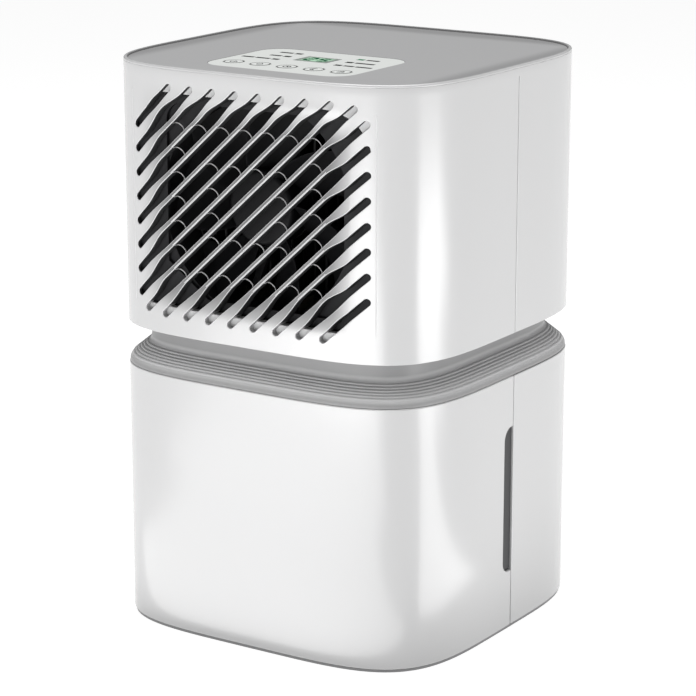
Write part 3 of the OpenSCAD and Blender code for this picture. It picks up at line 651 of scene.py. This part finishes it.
LED_ON = material("led_green", (0.03, 0.16, 0.08), 0.6, tone=0.02, specular=0.0, glow=(0.02, 0.4, 0.15),
                  glow_strength=0.05)
LED_OFF = material("led_dark", (0.03, 0.032, 0.03), 0.6, tone=0.03, specular=0.0)
DARK = material("dark_plate", (0.028, 0.028, 0.03), 0.6, grain=(0.35, 0.4), tone=0.06,
                specular=0.2)
BLADE = material("fan_blade", (0.01, 0.01, 0.011), 0.5, grain=(0.2, 0.4), tone=0.05,
                 specular=0.15)
SMOKE = material("tank_smoke", (0.05, 0.05, 0.052), 0.4, specular=0.25, grain=(0.1, 0.5), tone=0.03)
RUBBER = material("rubber", (0.03, 0.03, 0.03), 0.75, grain=(0.5, 0.3), tone=0.08)
STEEL = material("plated_steel", (0.6, 0.61, 0.62), 0.32, metal=1.0, grain=(0.25, 0.2), tone=0.05)
BLACK_METAL = material("black_anodised", (0.012, 0.012, 0.013), 0.5, grain=(0.3, 0.5), tone=0.1,
                       specular=0.3)
ALUMINIUM = material("aluminium", (0.72, 0.73, 0.74), 0.38, metal=1.0, grain=(0.3, 0.5), tone=0.05)
COPPER = material("copper_winding", (0.5, 0.22, 0.1), 0.4, metal=1.0, grain=(0.8, 0.4), tone=0.1)
BOARD = material("circuit_board", (0.02, 0.14, 0.06), 0.4, coat=0.4, grain=(0.4, 0.8), tone=0.12)
CERAMIC = material("ceramic", (0.7, 0.7, 0.67), 0.6, grain=(0.3, 0.2), tone=0.03)
FOAM = material("foam", (0.5, 0.47, 0.38), 0.85, grain=(1.0, 0.8), tone=0.08)
FLOAT = material("float_foam", (0.7, 0.68, 0.62), 0.85, grain=(1.0, 0.8), tone=0.05)
NATURAL = material("natural_plastic", (0.62, 0.62, 0.6), 0.4, grain=(0.2, 0.4), tone=0.02)
WIRE_BLACK = material("wire_black", (0.02, 0.02, 0.02), 0.5, grain=(0.3, 0.3), tone=0.1)
WIRE_RED = material("wire_red", (0.4, 0.02, 0.015), 0.5, grain=(0.3, 0.3), tone=0.1)
RIBBON = material("ribbon", (0.45, 0.45, 0.47), 0.5, grain=(0.4, 0.6), tone=0.05)


# ---- grille

def ease(v):
    """A smooth step from 0 to 1."""
    v = np.clip(v, 0, 1)
    return v * v * (3 - 2 * v)


def swell(x, z):
    """Extra width of a slot at a place from the grille's centre."""
    return (SLOT_SWELL * ease((SWELL_HALF[0] - np.abs(x)) / SWELL_FADE)
            * ease((SWELL_HALF[1] - np.abs(z)) / SWELL_FADE))


ALONG = np.array([math.cos(SLOT_ANGLE), math.sin(SLOT_ANGLE)])
ACROSS = np.array([math.sin(SLOT_ANGLE), -math.cos(SLOT_ANGLE)])
SLOT_GAP = SLOT_PITCH * math.sin(SLOT_ANGLE)
SLOTS = range(-8, 9)


def slot_reach(k, side):
    """How far slot k runs along itself before it meets the rounded rectangle of the slot ends."""
    near, beyond = 0.0, LONG
    for _ in range(24):
        s = (near + beyond) / 2
        c = np.abs(side * s * ALONG + k * SLOT_GAP * ACROSS) - np.array(SLOT_HALF) + SLOT_CORNER
        if np.linalg.norm(np.maximum(c, 0)) < SLOT_CORNER:
            near = s
        else:
            beyond = s
    return side * near


def slot_loop(k):
    """Outline of slot k from the grille's centre, counterclockwise."""
    s0, s1 = slot_reach(k, -1), slot_reach(k, 1)
    s = np.linspace(s0, s1, max(8, int((s1 - s0) / 2)))
    middle = s[:, None] * ALONG + k * SLOT_GAP * ACROSS
    extra = swell(middle[:, 0], middle[:, 1])[:, None]
    half = SLOT_W / 2
    turn = np.radians(np.arange(15, 180, 15))[:, None]
    lower = middle + (half + (1 - SWELL_UP) * extra) * ACROSS
    upper = middle - (half + SWELL_UP * extra) * ACROSS
    end = middle[-1] + half * (np.sin(turn) * ALONG + np.cos(turn) * ACROSS)
    start = middle[0] - half * (np.sin(turn) * ALONG + np.cos(turn) * ACROSS)
    return np.concatenate([lower, end, upper[::-1], start])


def face_y(x):
    """y of the housing's front at x."""
    return outline(u_of_x(x))[0][:, 1]


def dish(x, z):
    """Depth of the shallow dish at a place from the grille's centre."""
    depth = np.maximum(0, DISH_Y - face_y(x))
    return depth * ease((DISH_HALF - np.abs(z)) / DISH_FADE)


def grille_surface(p):
    """The housing's outer surface with the dish, at (u, z)."""
    point, normal, e1, e2 = wall_surface(p)
    front = np.abs(p[:, 0]) < u_of_x(FRONT_X)
    x, z = point[:, 0], point[:, 2] - GRILLE_Z
    step = 0.5
    sunk = np.where(front, dish(x, z), 0)
    slope_x = np.where(front, (dish(x + step, z) - dish(x - step, z)) / (2 * step), 0)
    slope_z = np.where(front, (dish(x, z + step) - dish(x, z - step)) / (2 * step), 0)
    point = point + np.column_stack([np.zeros(len(p)), sunk, np.zeros(len(p))])
    normal = unit(normal + np.column_stack([slope_x, np.zeros(len(p)), slope_z]))
    return point, normal, e1, e2


def grille_back(p, k):
    """The back of the front shell: a thin wall, and a thick flat panel with the slots, loops k > 0."""
    if k:
        point = wall_surface(p)[0]
        point[:, 1] = GRILLE_BACK
        return point
    thin = wall_back(p, k)
    thick = (np.abs(p[:, 0]) < u_of_x(THICK_HALF[0])) & (np.abs(p[:, 1] - GRILLE_Z) < THICK_HALF[1])
    thin[:, 1] = np.where(thick, np.maximum(thin[:, 1], GRILLE_BACK), thin[:, 1])
    return thin


def inward(p):
    """The direction of the slots' walls, straight back."""
    return np.tile([0.0, 1.0, 0.0], (len(p), 1))


def shell_loop(u0, u1, z0, z1, r=0.8, notch=None):
    """Outline of a wall panel, with an optional notch (u, z0, z1, r0, r1) in its right edge."""
    corners = [(u0, z0, r), (u1, z0, r)]
    if notch:
        u, n0, n1, r0, r1 = notch
        corners += [(u1, n0, r), (u, n0, r0), (u, n1, r1), (u1, n1, r)]
    return rounded_loop(corners + [(u1, z1, r), (u0, z1, r)], step=2.5)


def upper_front_shell():
    b = Build()
    slots = [slot_loop(k) for k in SLOTS]
    holes = [np.column_stack([u_of_x(s[:, 0]), s[:, 1] + GRILLE_Z])[::-1] for s in slots]
    outer = shell_loop(-SEAM_U, SEAM_U, UPPER_Z, RING_Z + FINE_EDGE)
    # Fronts: grille white with painted shade in the middle; rounded slot edges: plain white; slot walls:
    # near-black painted shade.
    solid(b, [outer] + holes, grille_surface, grille_back, FINE_EDGE, spacing=(2.4, 3.2), dive=inward,
          paints=(0, 1, 2))
    b.finish("front_housing", (SLAT_PAINTED_SHADE, WHITE, SLOT_WALL_PAINTED_SHADE), "upper_front_shell")


def slot_floors():
    """The floor of the blind slot ends: a plate round a rounded opening, inside the front shell."""
    b = Build()
    thinnest, clear, corner = 1.0, 0.05, 8.0

    def surface(p):
        point, normal, e1, e2 = wall_surface(p)
        point = point - normal * CAP_DEPTH
        point[:, 1] = np.minimum(point[:, 1], GRILLE_BACK - thinnest)
        return point, normal, e1, e2

    def back(p, _):
        point = surface(p)[0]
        point[:, 1] = GRILLE_BACK - clear
        return point

    reach, side = u_of_x(SLOT_HALF[0] + FLOOR_PAST[0]), u_of_x(OPEN_HALF[0])
    low, high = GRILLE_Z - OPEN_HALF[1], GRILLE_Z + OPEN_HALF[1]
    outer = rect_loop(0, GRILLE_Z, 2 * reach, 2 * (SLOT_HALF[1] + FLOOR_PAST[1]), corner)
    corners = ((-side, low), (side, low), (side, high), (-side, high))
    opening = rounded_loop([(u, z, r) for (u, z), r in zip(corners, OPEN_CORNERS)], step=2.0)[::-1]
    solid(b, [outer, opening], surface, back, EDGE, spacing=(4, 3))
    b.finish("slot_floors", (CAP,))


def top_rim():
    """The rim round the top cover, with a fine groove outside and the ledge that carries the cover."""
    b = Build()
    ledge_w, ledge, groove, half, deep = 4.6, RING_Z + 2.2, TOP_Z - 1.5, 0.12, 0.2
    profile = [(0, RING_Z, 0), (ledge_w, RING_Z, 0), (ledge_w, ledge, 0), (RIM_W, ledge, 0),
               (RIM_W, TOP_Z, 0.5), (0, TOP_Z, 0.9), (0, groove + half, 0.1), (deep, groove, 0),
               (0, groove - half, 0.1)]
    # The rim's inner faces take the cover's grey with its painted shade.
    loft(b, rounded_profile(profile[::-1]), inner=1.2)
    b.finish("top_rim", (WHITE, COVER_PAINTED_SHADE))


def strand(b, points, binormal, radius, sides=8):
    """A round rod along points, which all lie square to binormal."""
    run = unit(np.gradient(points, axis=0))
    turn = np.arange(sides)[None, :, None] * 2 * math.pi / sides
    normals = np.cos(turn) * np.cross(binormal, run)[:, None] + np.sin(turn) * binormal
    b.tube(points[:, None] + radius * normals, normals)


def webs():
    """Thin half-ring strands that tie neighbouring slats together, and a fine light rib along each slat, a
    painted highlight on the ridge where its two faces meet.
    """
    b = Build()
    half = (SLOT_W + SLOT_SWELL) / 2
    shift = -SLOT_SWELL * (SWELL_UP - 0.5)
    rise = SLOT_PITCH * math.tan(SLOT_ANGLE)
    behind, sunk, proud, fewest = 1.0, 1.0, 0.03, 8
    low = GRILLE_BACK + behind
    places = [(i, j) for i in range(-3, 4) for j in range(-3, 4) if max(abs(i), abs(j)) == 3]
    places += [(i - 1.5, j - 1.5) for i in range(4) for j in range(4) if i in (0, 3) or j in (0, 3)]
    for i, j in places:
        c = np.array([i * SLOT_PITCH, j * rise]) + shift * ACROSS - TIE_SHIFT * ALONG
        front = face_y(c[:1])[0] + dish(c[:1], c[1:])[0] + sunk
        bow = [(-half * math.cos(t), low - half * (1 - math.sin(t))) for t in np.linspace(0, math.pi, 17)]
        path = np.array([(-half, front)] + bow + [(half, front)])
        points = np.column_stack([c[0] + path[:, 0] * ACROSS[0], path[:, 1],
                                  GRILLE_Z + c[1] + path[:, 0] * ACROSS[1]])
        strand(b, points, np.array([ALONG[0], 0, ALONG[1]]), TIE_R)
    # Painted highlight: a light bead along the ridge of each slat.
    for k in SLOTS[:-1]:
        middle = (k + 0.5) * SLOT_GAP + shift + HIGHLIGHT_RIB_SHIFT
        line = np.linspace(-LONG, LONG, 97)[:, None] * ALONG + middle * ACROSS
        line = line[(np.abs(line) < np.array(SWELL_HALF) - HIGHLIGHT_RIB_INSET).all(1)]
        if len(line) < fewest:
            continue
        x, z = line[:, 0], line[:, 1]
        points = np.column_stack([x, face_y(x) + dish(x, z) + proud, GRILLE_Z + z])
        strand(b, points, np.array([ACROSS[0], 0, ACROSS[1]]), HIGHLIGHT_RIB_R)
    b.finish("grille_webs", (CAP,))


# ---- other shells

def stadium_loop(cx, cz, w, h, step=3.0):
    return rect_loop(cx, cz, w, h, h / 2 - 0.001, step)[::-1]


SEAM_EXTRA = 0.2  # how much wider the seam is than in the CAD, to show
REAR_U0 = SEAM_U + SEAM_GAP + SEAM_EXTRA
REAR_U1 = 2 * HALF_U - REAR_U0
VENT_X = 34.0  # middles of the two columns of air slots
VENT_SIZE = (52.0, 4.0)
VENT_PITCH = 9.0
JACK_HOLE_R = 5.85
SLIT_Y = -5.0  # front end of the level slit, then its ends and corners
SLIT_Z = (33.0, 112.6)
SLIT_R = (5.5, 7.0)
GRIP_Z = 127.5  # middle of the finger grip
GRIP_SIZE = (77.0, 17.0)


def upper_rear_cover():
    b = Build()
    holes = [stadium_loop(HALF_U - u_of_x(x), GRILLE_Z + VENT_PITCH * j, *VENT_SIZE, step=4)
             for x in (-VENT_X, VENT_X) for j in range(-5, 6)]
    jack = centre_of("dc_jack")
    holes.append(circle_loop(HALF_U - u_of_x(jack[0]), jack[2], JACK_HOLE_R, 48)[::-1])
    outer = shell_loop(REAR_U0, REAR_U1, UPPER_Z, RING_Z + EDGE)
    # The walls of the air slots and the jack hole take the near-black painted shade.
    solid(b, [outer] + holes, wall_surface, wall_back, EDGE, spacing=(3, 4), paints=(0, 0, 1))
    b.finish("rear_housing", (WHITE, SHADE), "upper_rear_cover")


def lower_front_shell():
    b = Build()
    notch = (u_of_y(SLIT_Y), *SLIT_Z, *SLIT_R)
    outer = shell_loop(-SEAM_U, SEAM_U, LOWER_LO[2], LOWER_Z, notch=notch)
    solid(b, [outer], wall_surface, wall_back, LOWER_EDGE)
    b.finish("lower_front", (WHITE,), "lower_front_shell")


def tank_rear_cover():
    b = Build()
    grip = stadium_loop(HALF_U, GRIP_Z, *GRIP_SIZE)
    outer = shell_loop(REAR_U0, REAR_U1, TANK_LO[2], TANK_HI[2])
    solid(b, [outer, grip], wall_surface, wall_back, TANK_EDGE)
    b.finish("tank_back", (WHITE,), "tank_rear_cover", body="water_tank")


def waist():
    """Grey neck, a concave fillet, a ribbed flare and a rounded nose, as one closed profile.

    Its points are (distance out from the neck, height above the underside).
    """
    b = Build()
    neck = 12.0
    top = FLANGE_Z - RIBS_Z
    fillet = [(0.0, 14.0), (0.0, 12.8), (0.25, 11.9), (0.85, 11.2), (1.7, 10.4)]
    nose = [(10.6, 3.2), (11.2, 2.5), (11.5, 1.7), (11.6, 0.9), (11.6, 0, 1)]
    hollow = [(8.4, 0, 1), (8.4, 2.0, 1), (-2.4, 10.9, 1), (-2.4, top, 1), (0, top, 1)]
    ribs = []
    start, end, count = np.array([1.7, 10.4]), np.array([10.3, 3.5]), 6
    for i in range(count):
        p, q = start + (end - start) * i / count, start + (end - start) * (i + 1) / count
        out = unit(np.array([p[1] - q[1], q[0] - p[0]]))
        ribs += [tuple(p + (q - p) * share + out * lift)
                 for share, lift in ((0.08, 0.0), (0.2, 0.34), (0.5, 0.42), (0.8, 0.34), (0.92, 0.0))]
    profile = [(neck - p[0], RIBS_Z + p[1], *p[2:]) for p in fillet + ribs + nose + hollow]
    loft(b, profile[::-1])
    # The waist's grey carries a painted highlight band across the ribs and fillet.
    b.finish("waist", (NECK_PAINTED_HIGHLIGHT,), "waist_neck", "waist_ribs", slot="trim_grey")


# ---- control panel

KEYS = ("key_power", "key_mode", "key_timer", "key_sleep", "key_lock")
PANEL_CORNER = 13.0
KEY_HOLE_R = 5.75
LED_SIZE = (4.0, 1.5)
AROUND = 0.1  # gap round the window and the indicators


def led_places():
    """Middles of the six indicator bars."""
    x = LED_HI[0] - LED_SIZE[0] / 2
    y0, y1 = LED_LO[1] + LED_SIZE[1] / 2, LED_HI[1] - LED_SIZE[1] / 2
    return [(side * x, y) for side in (-1, 1) for y in (y0, (y0 + y1) / 2, y1)]


def control_panel():
    b = Build()
    size = (PANEL_HI - PANEL_LO)[:2]
    outer = rect_loop(*centre_of("control_panel")[:2], *size, PANEL_CORNER)
    holes = [circle_loop(*centre_of(k)[:2], KEY_HOLE_R)[::-1] for k in KEYS]
    led = [v + 2 * AROUND for v in LED_SIZE]
    holes += [rect_loop(x, y, *led, 0.3)[::-1] for x, y in led_places()]
    window = (WINDOW_W + 2 * AROUND, WINDOW_D + 2 * AROUND)
    holes.append(rect_loop(WINDOW_X, WINDOW_Y, *window, 0.4)[::-1])
    solid(b, [outer] + holes, flat_surface(PANEL_HI[2]), flat_back(PANEL_LO[2]), PANEL_EDGE, (4, 4), 2)
    b.finish("panel", (PALE,), "control_panel", slot="panel_light_grey")


def panel_print():
    """Generic bars in place of the words beside the indicators."""
    b = Build()
    words = {-1: ([8.5, 7.5], [7.0], [8.0]), 1: ([6.0, 9.5], [11.5], [7.5])}
    start, between, half = 3.6, 1.2, 1.3
    for (x, y), row in zip(led_places(), (0, 1, 2, 0, 1, 2)):
        side = 1 if x > 0 else -1
        at = x + side * start
        for length in words[side][row]:
            print_line(b, [(at, y), (at + side * length, y)][::side], half, PANEL_HI[2])
            at += side * (length + between)
    b.finish("panel_words", (INK_GREY,), slot="panel_light_grey")


def icon(b, kind, x, y, z):
    """A generic mark on a key."""
    def draw(path, closed=False):
        print_line(b, np.array(path) + (x, y), 0.3, z, closed)

    if kind == "key_power":
        draw(arc(0, -0.2, 1.8, 125, 415))
        draw([(0, 0.1), (0, 2.3)])
    elif kind == "key_mode":
        draw(np.concatenate([arc(0, -0.5, 1.5, 150, 390, 15), [(0, 2.3)]]), True)
    elif kind == "key_timer":
        draw(arc(0, 0, 2.0, 0, 345, 24), True)
        draw([(0, 1.2), (0, 0), (0.9, -0.6)])
    elif kind == "key_sleep":
        draw(np.concatenate([arc(0, 0, 2.0, 60, 300, 15), arc(1.0, 0, 1.73, 270, 90, 13)[1:-1]]), True)
    else:
        draw([(-1.5, -1.9), (1.5, -1.9), (1.5, 0.2), (-1.5, 0.2)], True)
        draw(np.concatenate([[(-0.95, 0.4)], arc(0, 0.9, 0.95, 180, 0, 9), [(0.95, 0.4)]]))


def keys():
    """Each key is a cap on a wider foot, with a printed ring and its icon."""
    foot_w, foot_h, ring_in = 1.0, 1.0, 1.35
    for name in KEYS:
        b = Build()
        low, high = span(name)
        x, y = centre_of(name)[:2]
        radius, back = (high[0] - low[0]) / 2, flat_back(low[2])
        solid(b, [circle_loop(x, y, radius - foot_w)], flat_surface(high[2]), back, FINE_EDGE, (2, 2))
        solid(b, [circle_loop(x, y, radius)], flat_surface(low[2] + foot_h), back, 0.1, (3, 3), 1)
        b.paint = 1
        icon(b, name, x, y, high[2])
        print_line(b, circle_loop(x, y, radius - ring_in), 0.22, high[2], True)
        b.finish(name + "_cap", (KEY, INK), name, body=name, slot="key_light_grey")


SEGMENTS = {"2": "abged", "5": "afgcd"}


def display():
    """The window with two seven-segment digits printed on it."""
    b = Build()
    z = WINDOW_HI[2]
    outer = rect_loop(WINDOW_X, WINDOW_Y, WINDOW_W, WINDOW_D, 0.3)
    solid(b, [outer], flat_surface(z), flat_back(WINDOW_LO[2]), 0.12, (3, 3), 2)
    b.paint = 1
    wide, tall, apart, inset, half = 2.3, 3.9, 3.9, 0.35, 1.0
    top, middle, low = ([(-wide, y), (wide, y)] for y in (tall, 0, -tall))
    bars = {"a": top, "g": middle, "d": low, "f": (top[0], middle[0]), "b": (top[1], middle[1]),
            "e": (middle[0], low[0]), "c": (middle[1], low[1])}
    for digit, side in (("2", -1), ("5", 1)):
        place = (WINDOW_X + side * apart, WINDOW_Y)
        for name in SEGMENTS[digit]:
            p, q = (np.array(v, float) for v in bars[name])
            run = unit(q - p) * inset
            print_line(b, [p + run + place, q - run + place], half, z)
    b.finish("display", (WINDOW, DIGIT), "display_window", slot="display_smoke")


def led_bars():
    """The indicators, the last one lit, each with a printed line above and below it."""
    b = Build()
    places = led_places()
    half, away, line = LED_SIZE[0] / 2 + AROUND, 1.1, 0.5
    for i, (x, y) in enumerate(places):
        b.paint = lit = int(i == len(places) - 1)
        solid(b, [rect_loop(x, y, *LED_SIZE, 0.25)], flat_surface(LED_HI[2]), flat_back(LED_LO[2]),
              PANEL_EDGE, (2, 2), 2, paints=(lit, lit, lit))
        for edge in (-away, away):
            print_line(b, [(x - half, y + edge), (x + half, y + edge)], line, PANEL_HI[2])
    b.finish("indicators", (LED_OFF, LED_ON), "led_guides", slot="led_lens")


# ---- fan and small parts

def fan_rotor():
    """A rounded hub cup on its shaft, with swept, twisted and cambered blades."""
    b = Build()
    front, end = ROTOR_LO[1], ROTOR_HI[1]
    rim = end - 0.6
    hub, inner, shaft, corner, floor_y = 19.5, 17.0, 1.5, 2.5, front + 2
    tip, root = (ROTOR_HI[2] - ROTOR_LO[2]) / 2 - 0.1, 18.6
    curve = [(hub - corner + corner * math.cos(t), front + corner - corner * math.sin(t))
             for t in np.radians(np.arange(0, 91, 15))]
    profile = [(0, end, 1), (shaft, end, 1), (shaft, floor_y, 1), (inner, floor_y, 1), (inner, rim, 1),
               (hub, rim, 1)] + curve + [(0, front, 1)]
    lathe_y(b, profile, GRILLE_Z)
    middle, blades, camber, sweep = (front + rim) / 2 - 0.6, 7, 0.07, 0.35
    share = (1 - np.cos(np.linspace(0, math.pi, 13))) / 2
    for blade in range(blades):
        rows = []
        for v in np.linspace(0, 1, 12):
            r, chord = root + (tip - root) * v, 22 + 17 * v
            pitch, thick = math.radians(46 - 22 * v), 0.9 - 0.25 * v
            body = np.sin(share * math.pi) ** 0.5 * thick + 0.05
            bow = 4 * share * (1 - share) * camber * chord
            lower, upper = (np.stack([(share - 0.5) * chord, bow + side * body], -1) for side in (-1, 1))
            ring = np.concatenate([lower, upper[::-1]])
            s = ring[:, 0] * math.cos(pitch) - ring[:, 1] * math.sin(pitch)
            y = ring[:, 0] * math.sin(pitch) + ring[:, 1] * math.cos(pitch)
            angle = s / r + blade * 2 * math.pi / blades + sweep * v ** 1.4
            rows.append(np.column_stack([r * np.sin(angle), middle + y, GRILLE_Z + r * np.cos(angle)]))
        b.tube(rows)
    b.finish("rotor", (BLADE,), "fan_rotor", body="fan_rotor", slot="dark_plastic")


def round_path(points, r=5.0):
    """Points of a path with its corners rounded off."""
    points = [np.array(p, float) for p in points]
    out = [points[0]]
    for a, p, c in zip(points, points[1:], points[2:]):
        reach = min(r, np.linalg.norm(p - a) / 2, np.linalg.norm(c - p) / 2)
        q0, q1 = p + unit(a - p) * reach, p + unit(c - p) * reach
        out += [q0 * (1 - t) ** 2 + 2 * p * t * (1 - t) + q1 * t * t for t in np.linspace(0, 1, 9)]
    return np.array(out + [points[-1]])


def wire(b, points, r, sides=16):
    """A round wire along a path with rounded corners."""
    path = round_path(points)
    side = (0.3, 0.5, 0.8)
    rows = []
    for p, t in zip(path, unit(np.gradient(path, axis=0))):
        side = unit(np.cross(t, side)) if not rows else unit(side - t * (side @ t))
        up = np.cross(t, side)
        rows.append([p + r * (side * math.cos(a) + up * math.sin(a))
                     for a in np.arange(sides) * 2 * math.pi / sides])
    b.tube(rows)


def wire_set(name, paint, slot, node, r, turn_x=None, end_x=BOARD_X, count=2, from_back=False):
    """Round wires along the middles of a CAD node's square ones."""
    b = Build()
    low, high = span(node)
    low, high = low + r, high - r
    y0, y1 = (high[1], low[1]) if from_back else (low[1], high[1])
    turn_x = turn_x or high[0]
    for z in (low[2], high[2])[:count]:
        wire(b, [(low[0] - r, y0, z), (turn_x, y0, z), (turn_x, y1, z), (end_x, y1, z)], r)
    b.finish(name, (paint,), node, slot=slot)


def wires():
    wire_set("fan_wire", WIRE_BLACK, "wire_black", "fan_cable", 1.3, end_x=BOARD_BACK_X, count=1)
    wire_set("cooler_wires", WIRE_RED, "wire_red", "cooler_leads", 0.9, turn_x=66.0)
    wire_set("power_wires", WIRE_BLACK, "wire_black", "power_leads", 0.9, turn_x=69.0, from_back=True)


# Material and bevel of the CAD nodes that stay.
CAD_LOOKS = (
    # The top cover darkens towards its sides and back: painted shade.
    (COVER_PAINTED_SHADE, 0.5, "top_cover"),
    (DARK, 0.3, "display_module fan_shroud board_parts tank_sensor"),
    (BOARD, 0.15, "control_board main_board"),
    (STEEL, 0.1, "tact_switches"),
    (STEEL, 0.2, "shroud_screws clamp_screws case_screws housing_screws float_pin float_magnet"),
    (DARK, 0.4, "fan_frame"),
    (COPPER, 0.3, "fan_motor"),
    (BLACK_METAL, 0.2, "fan_screws hot_heatsink"),
    (CERAMIC, 0.2, "peltier_module"),
    (FOAM, 0.4, "insulation_panel"),
    (ALUMINIUM, 0.2, "cold_heatsink"),
    (NATURAL, 0.3, "drip_tray float_arm"),
    (DARK, 0.2, "dc_jack"),
    (RIBBON, 0.1, "panel_ribbon"),
    # The waist's flange and floor share the grey with the painted highlight band.
    (NECK_PAINTED_HIGHLIGHT, 0.3, "waist_flange"),
    (NECK_PAINTED_HIGHLIGHT, 0.2, "waist_floor"),
    (GREY, 0.3, "chassis_frame tank_lid"),
    (BASE, 0.3, "base_plate"),
    (RUBBER, 0.5, "rubber_feet"),
    (SMOKE, 0.4, "tank_tub"),
    (RUBBER, 0.2, "lid_seal"),
    (RUBBER, 0.4, "drain_plug"),
    (FLOAT, 0.6, "float_block"),
)


def dress(name, paint, bevel):
    """Gives a CAD node its material, smooth round faces and softened edges."""
    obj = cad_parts[name]
    obj.data.materials.clear()
    obj.data.materials.append(paint)
    obj.data.polygons.foreach_set("use_smooth", [True] * len(obj.data.polygons))
    obj.data.set_sharp_from_angle(angle=math.radians(32))
    soft = obj.modifiers.new("soft_edges", "BEVEL")
    soft.width = bevel * MM
    soft.segments = 2
    soft.limit_method = "ANGLE"
    soft.angle_limit = math.radians(40)
    soft.harden_normals = True


# ---- scene

CAMERA_PLACE = (746.52, -1151.20, 502.49)
CAMERA_TURN = 33.009  # degrees to the left of +Y
CAMERA_DOWN = 14.743  # degrees below level
LENS = 135.52  # on a sensor 36 mm wide
FLOOR_HALF = 10.0  # in metres
FLOOR_GLOW = 0.86
WORLD_GLOW = 0.25
OVERHEAD_Z, OVERHEAD_SIZE, OVERHEAD_GLOW = 1.6, 1.6, 3.2
LAMP_Z = 0.004  # height of the other lamps above the floor, in metres

# Lamps that face up from the floor, out of the picture: x, y and both sizes in metres, and the
# brightness. Each shows as a band of light in the glossy walls.
FLOOR_LAMPS = {
    "front_foot": (-0.035, -0.2, 0.35, 0.19, 1.05),
    "front_near": (-0.03, -0.43, 0.54, 0.27, 1.25),
    "front_far": (0.0, -1.0, 0.8, 0.86, 4.3),
    "right_near": (0.34, -0.01, 0.36, 0.14, 2.0),
    "right_middle": (0.65, 0.05, 0.26, 0.34, 2.9),
    "right_far": (1.1, 0.13, 0.64, 0.66, 4.7),
}


def camera():
    data = bpy.data.cameras.new("camera")
    data.lens = LENS
    data.sensor_width = 36
    data.clip_end = 20
    cam = add_object("camera", data)
    cam.location = Vector(CAMERA_PLACE) * MM
    turn, down = math.radians(CAMERA_TURN), math.radians(CAMERA_DOWN)
    look = Vector((-math.sin(turn) * math.cos(down), math.cos(turn) * math.cos(down), -math.sin(down)))
    cam.rotation_euler = look.to_track_quat("-Z", "Y").to_euler()
    bpy.context.scene.camera = cam


def floor():
    mesh = bpy.data.meshes.new("floor")
    r = FLOOR_HALF
    mesh.from_pydata([(-r, -r, 0), (r, -r, 0), (r, r, 0), (-r, r, 0)], [], [(0, 1, 2, 3)])
    mesh.materials.append(material("floor", (0.3, 0.3, 0.3), 0.8, specular=0.05, glow=(1, 1, 1),
                                   glow_strength=FLOOR_GLOW))
    add_object("floor", mesh)


def lamp(name, place, aim, size, radiance):
    """A rectangular softbox. Its power follows from the brightness of its face."""
    data = bpy.data.lights.new(name, "AREA")
    data.shape = "RECTANGLE"
    data.size, data.size_y = size
    data.energy = radiance * math.pi * size[0] * size[1]
    obj = add_object(name, data)
    obj.location = place
    obj.rotation_euler = (Vector(aim) - Vector(place)).to_track_quat("-Z", "Y").to_euler()
    obj.visible_camera = False


def studio():
    world = bpy.data.worlds.new("studio")
    world.use_nodes = True
    world.node_tree.nodes["Background"].inputs["Color"].default_value = (1, 1, 1, 1)
    world.node_tree.nodes["Background"].inputs["Strength"].default_value = WORLD_GLOW
    bpy.context.scene.world = world
    bpy.context.scene.view_settings.view_transform = "Standard"
    lamp("overhead", (0, 0, OVERHEAD_Z), (0, 0.001, 0), (OVERHEAD_SIZE, OVERHEAD_SIZE), OVERHEAD_GLOW)
    for name, (x, y, wide, deep, radiance) in FLOOR_LAMPS.items():
        lamp(name, (x, y, LAMP_Z), (x, y + 1e-5, 1), (wide, deep), radiance)


for make in (upper_front_shell, slot_floors, top_rim, webs, upper_rear_cover, lower_front_shell,
             tank_rear_cover, waist, control_panel, panel_print, keys, display, led_bars, fan_rotor, wires):
    make()
for paint, bevel, names in CAD_LOOKS:
    for name in names.split():
        dress(name, paint, bevel)
camera()
floor()
studio()
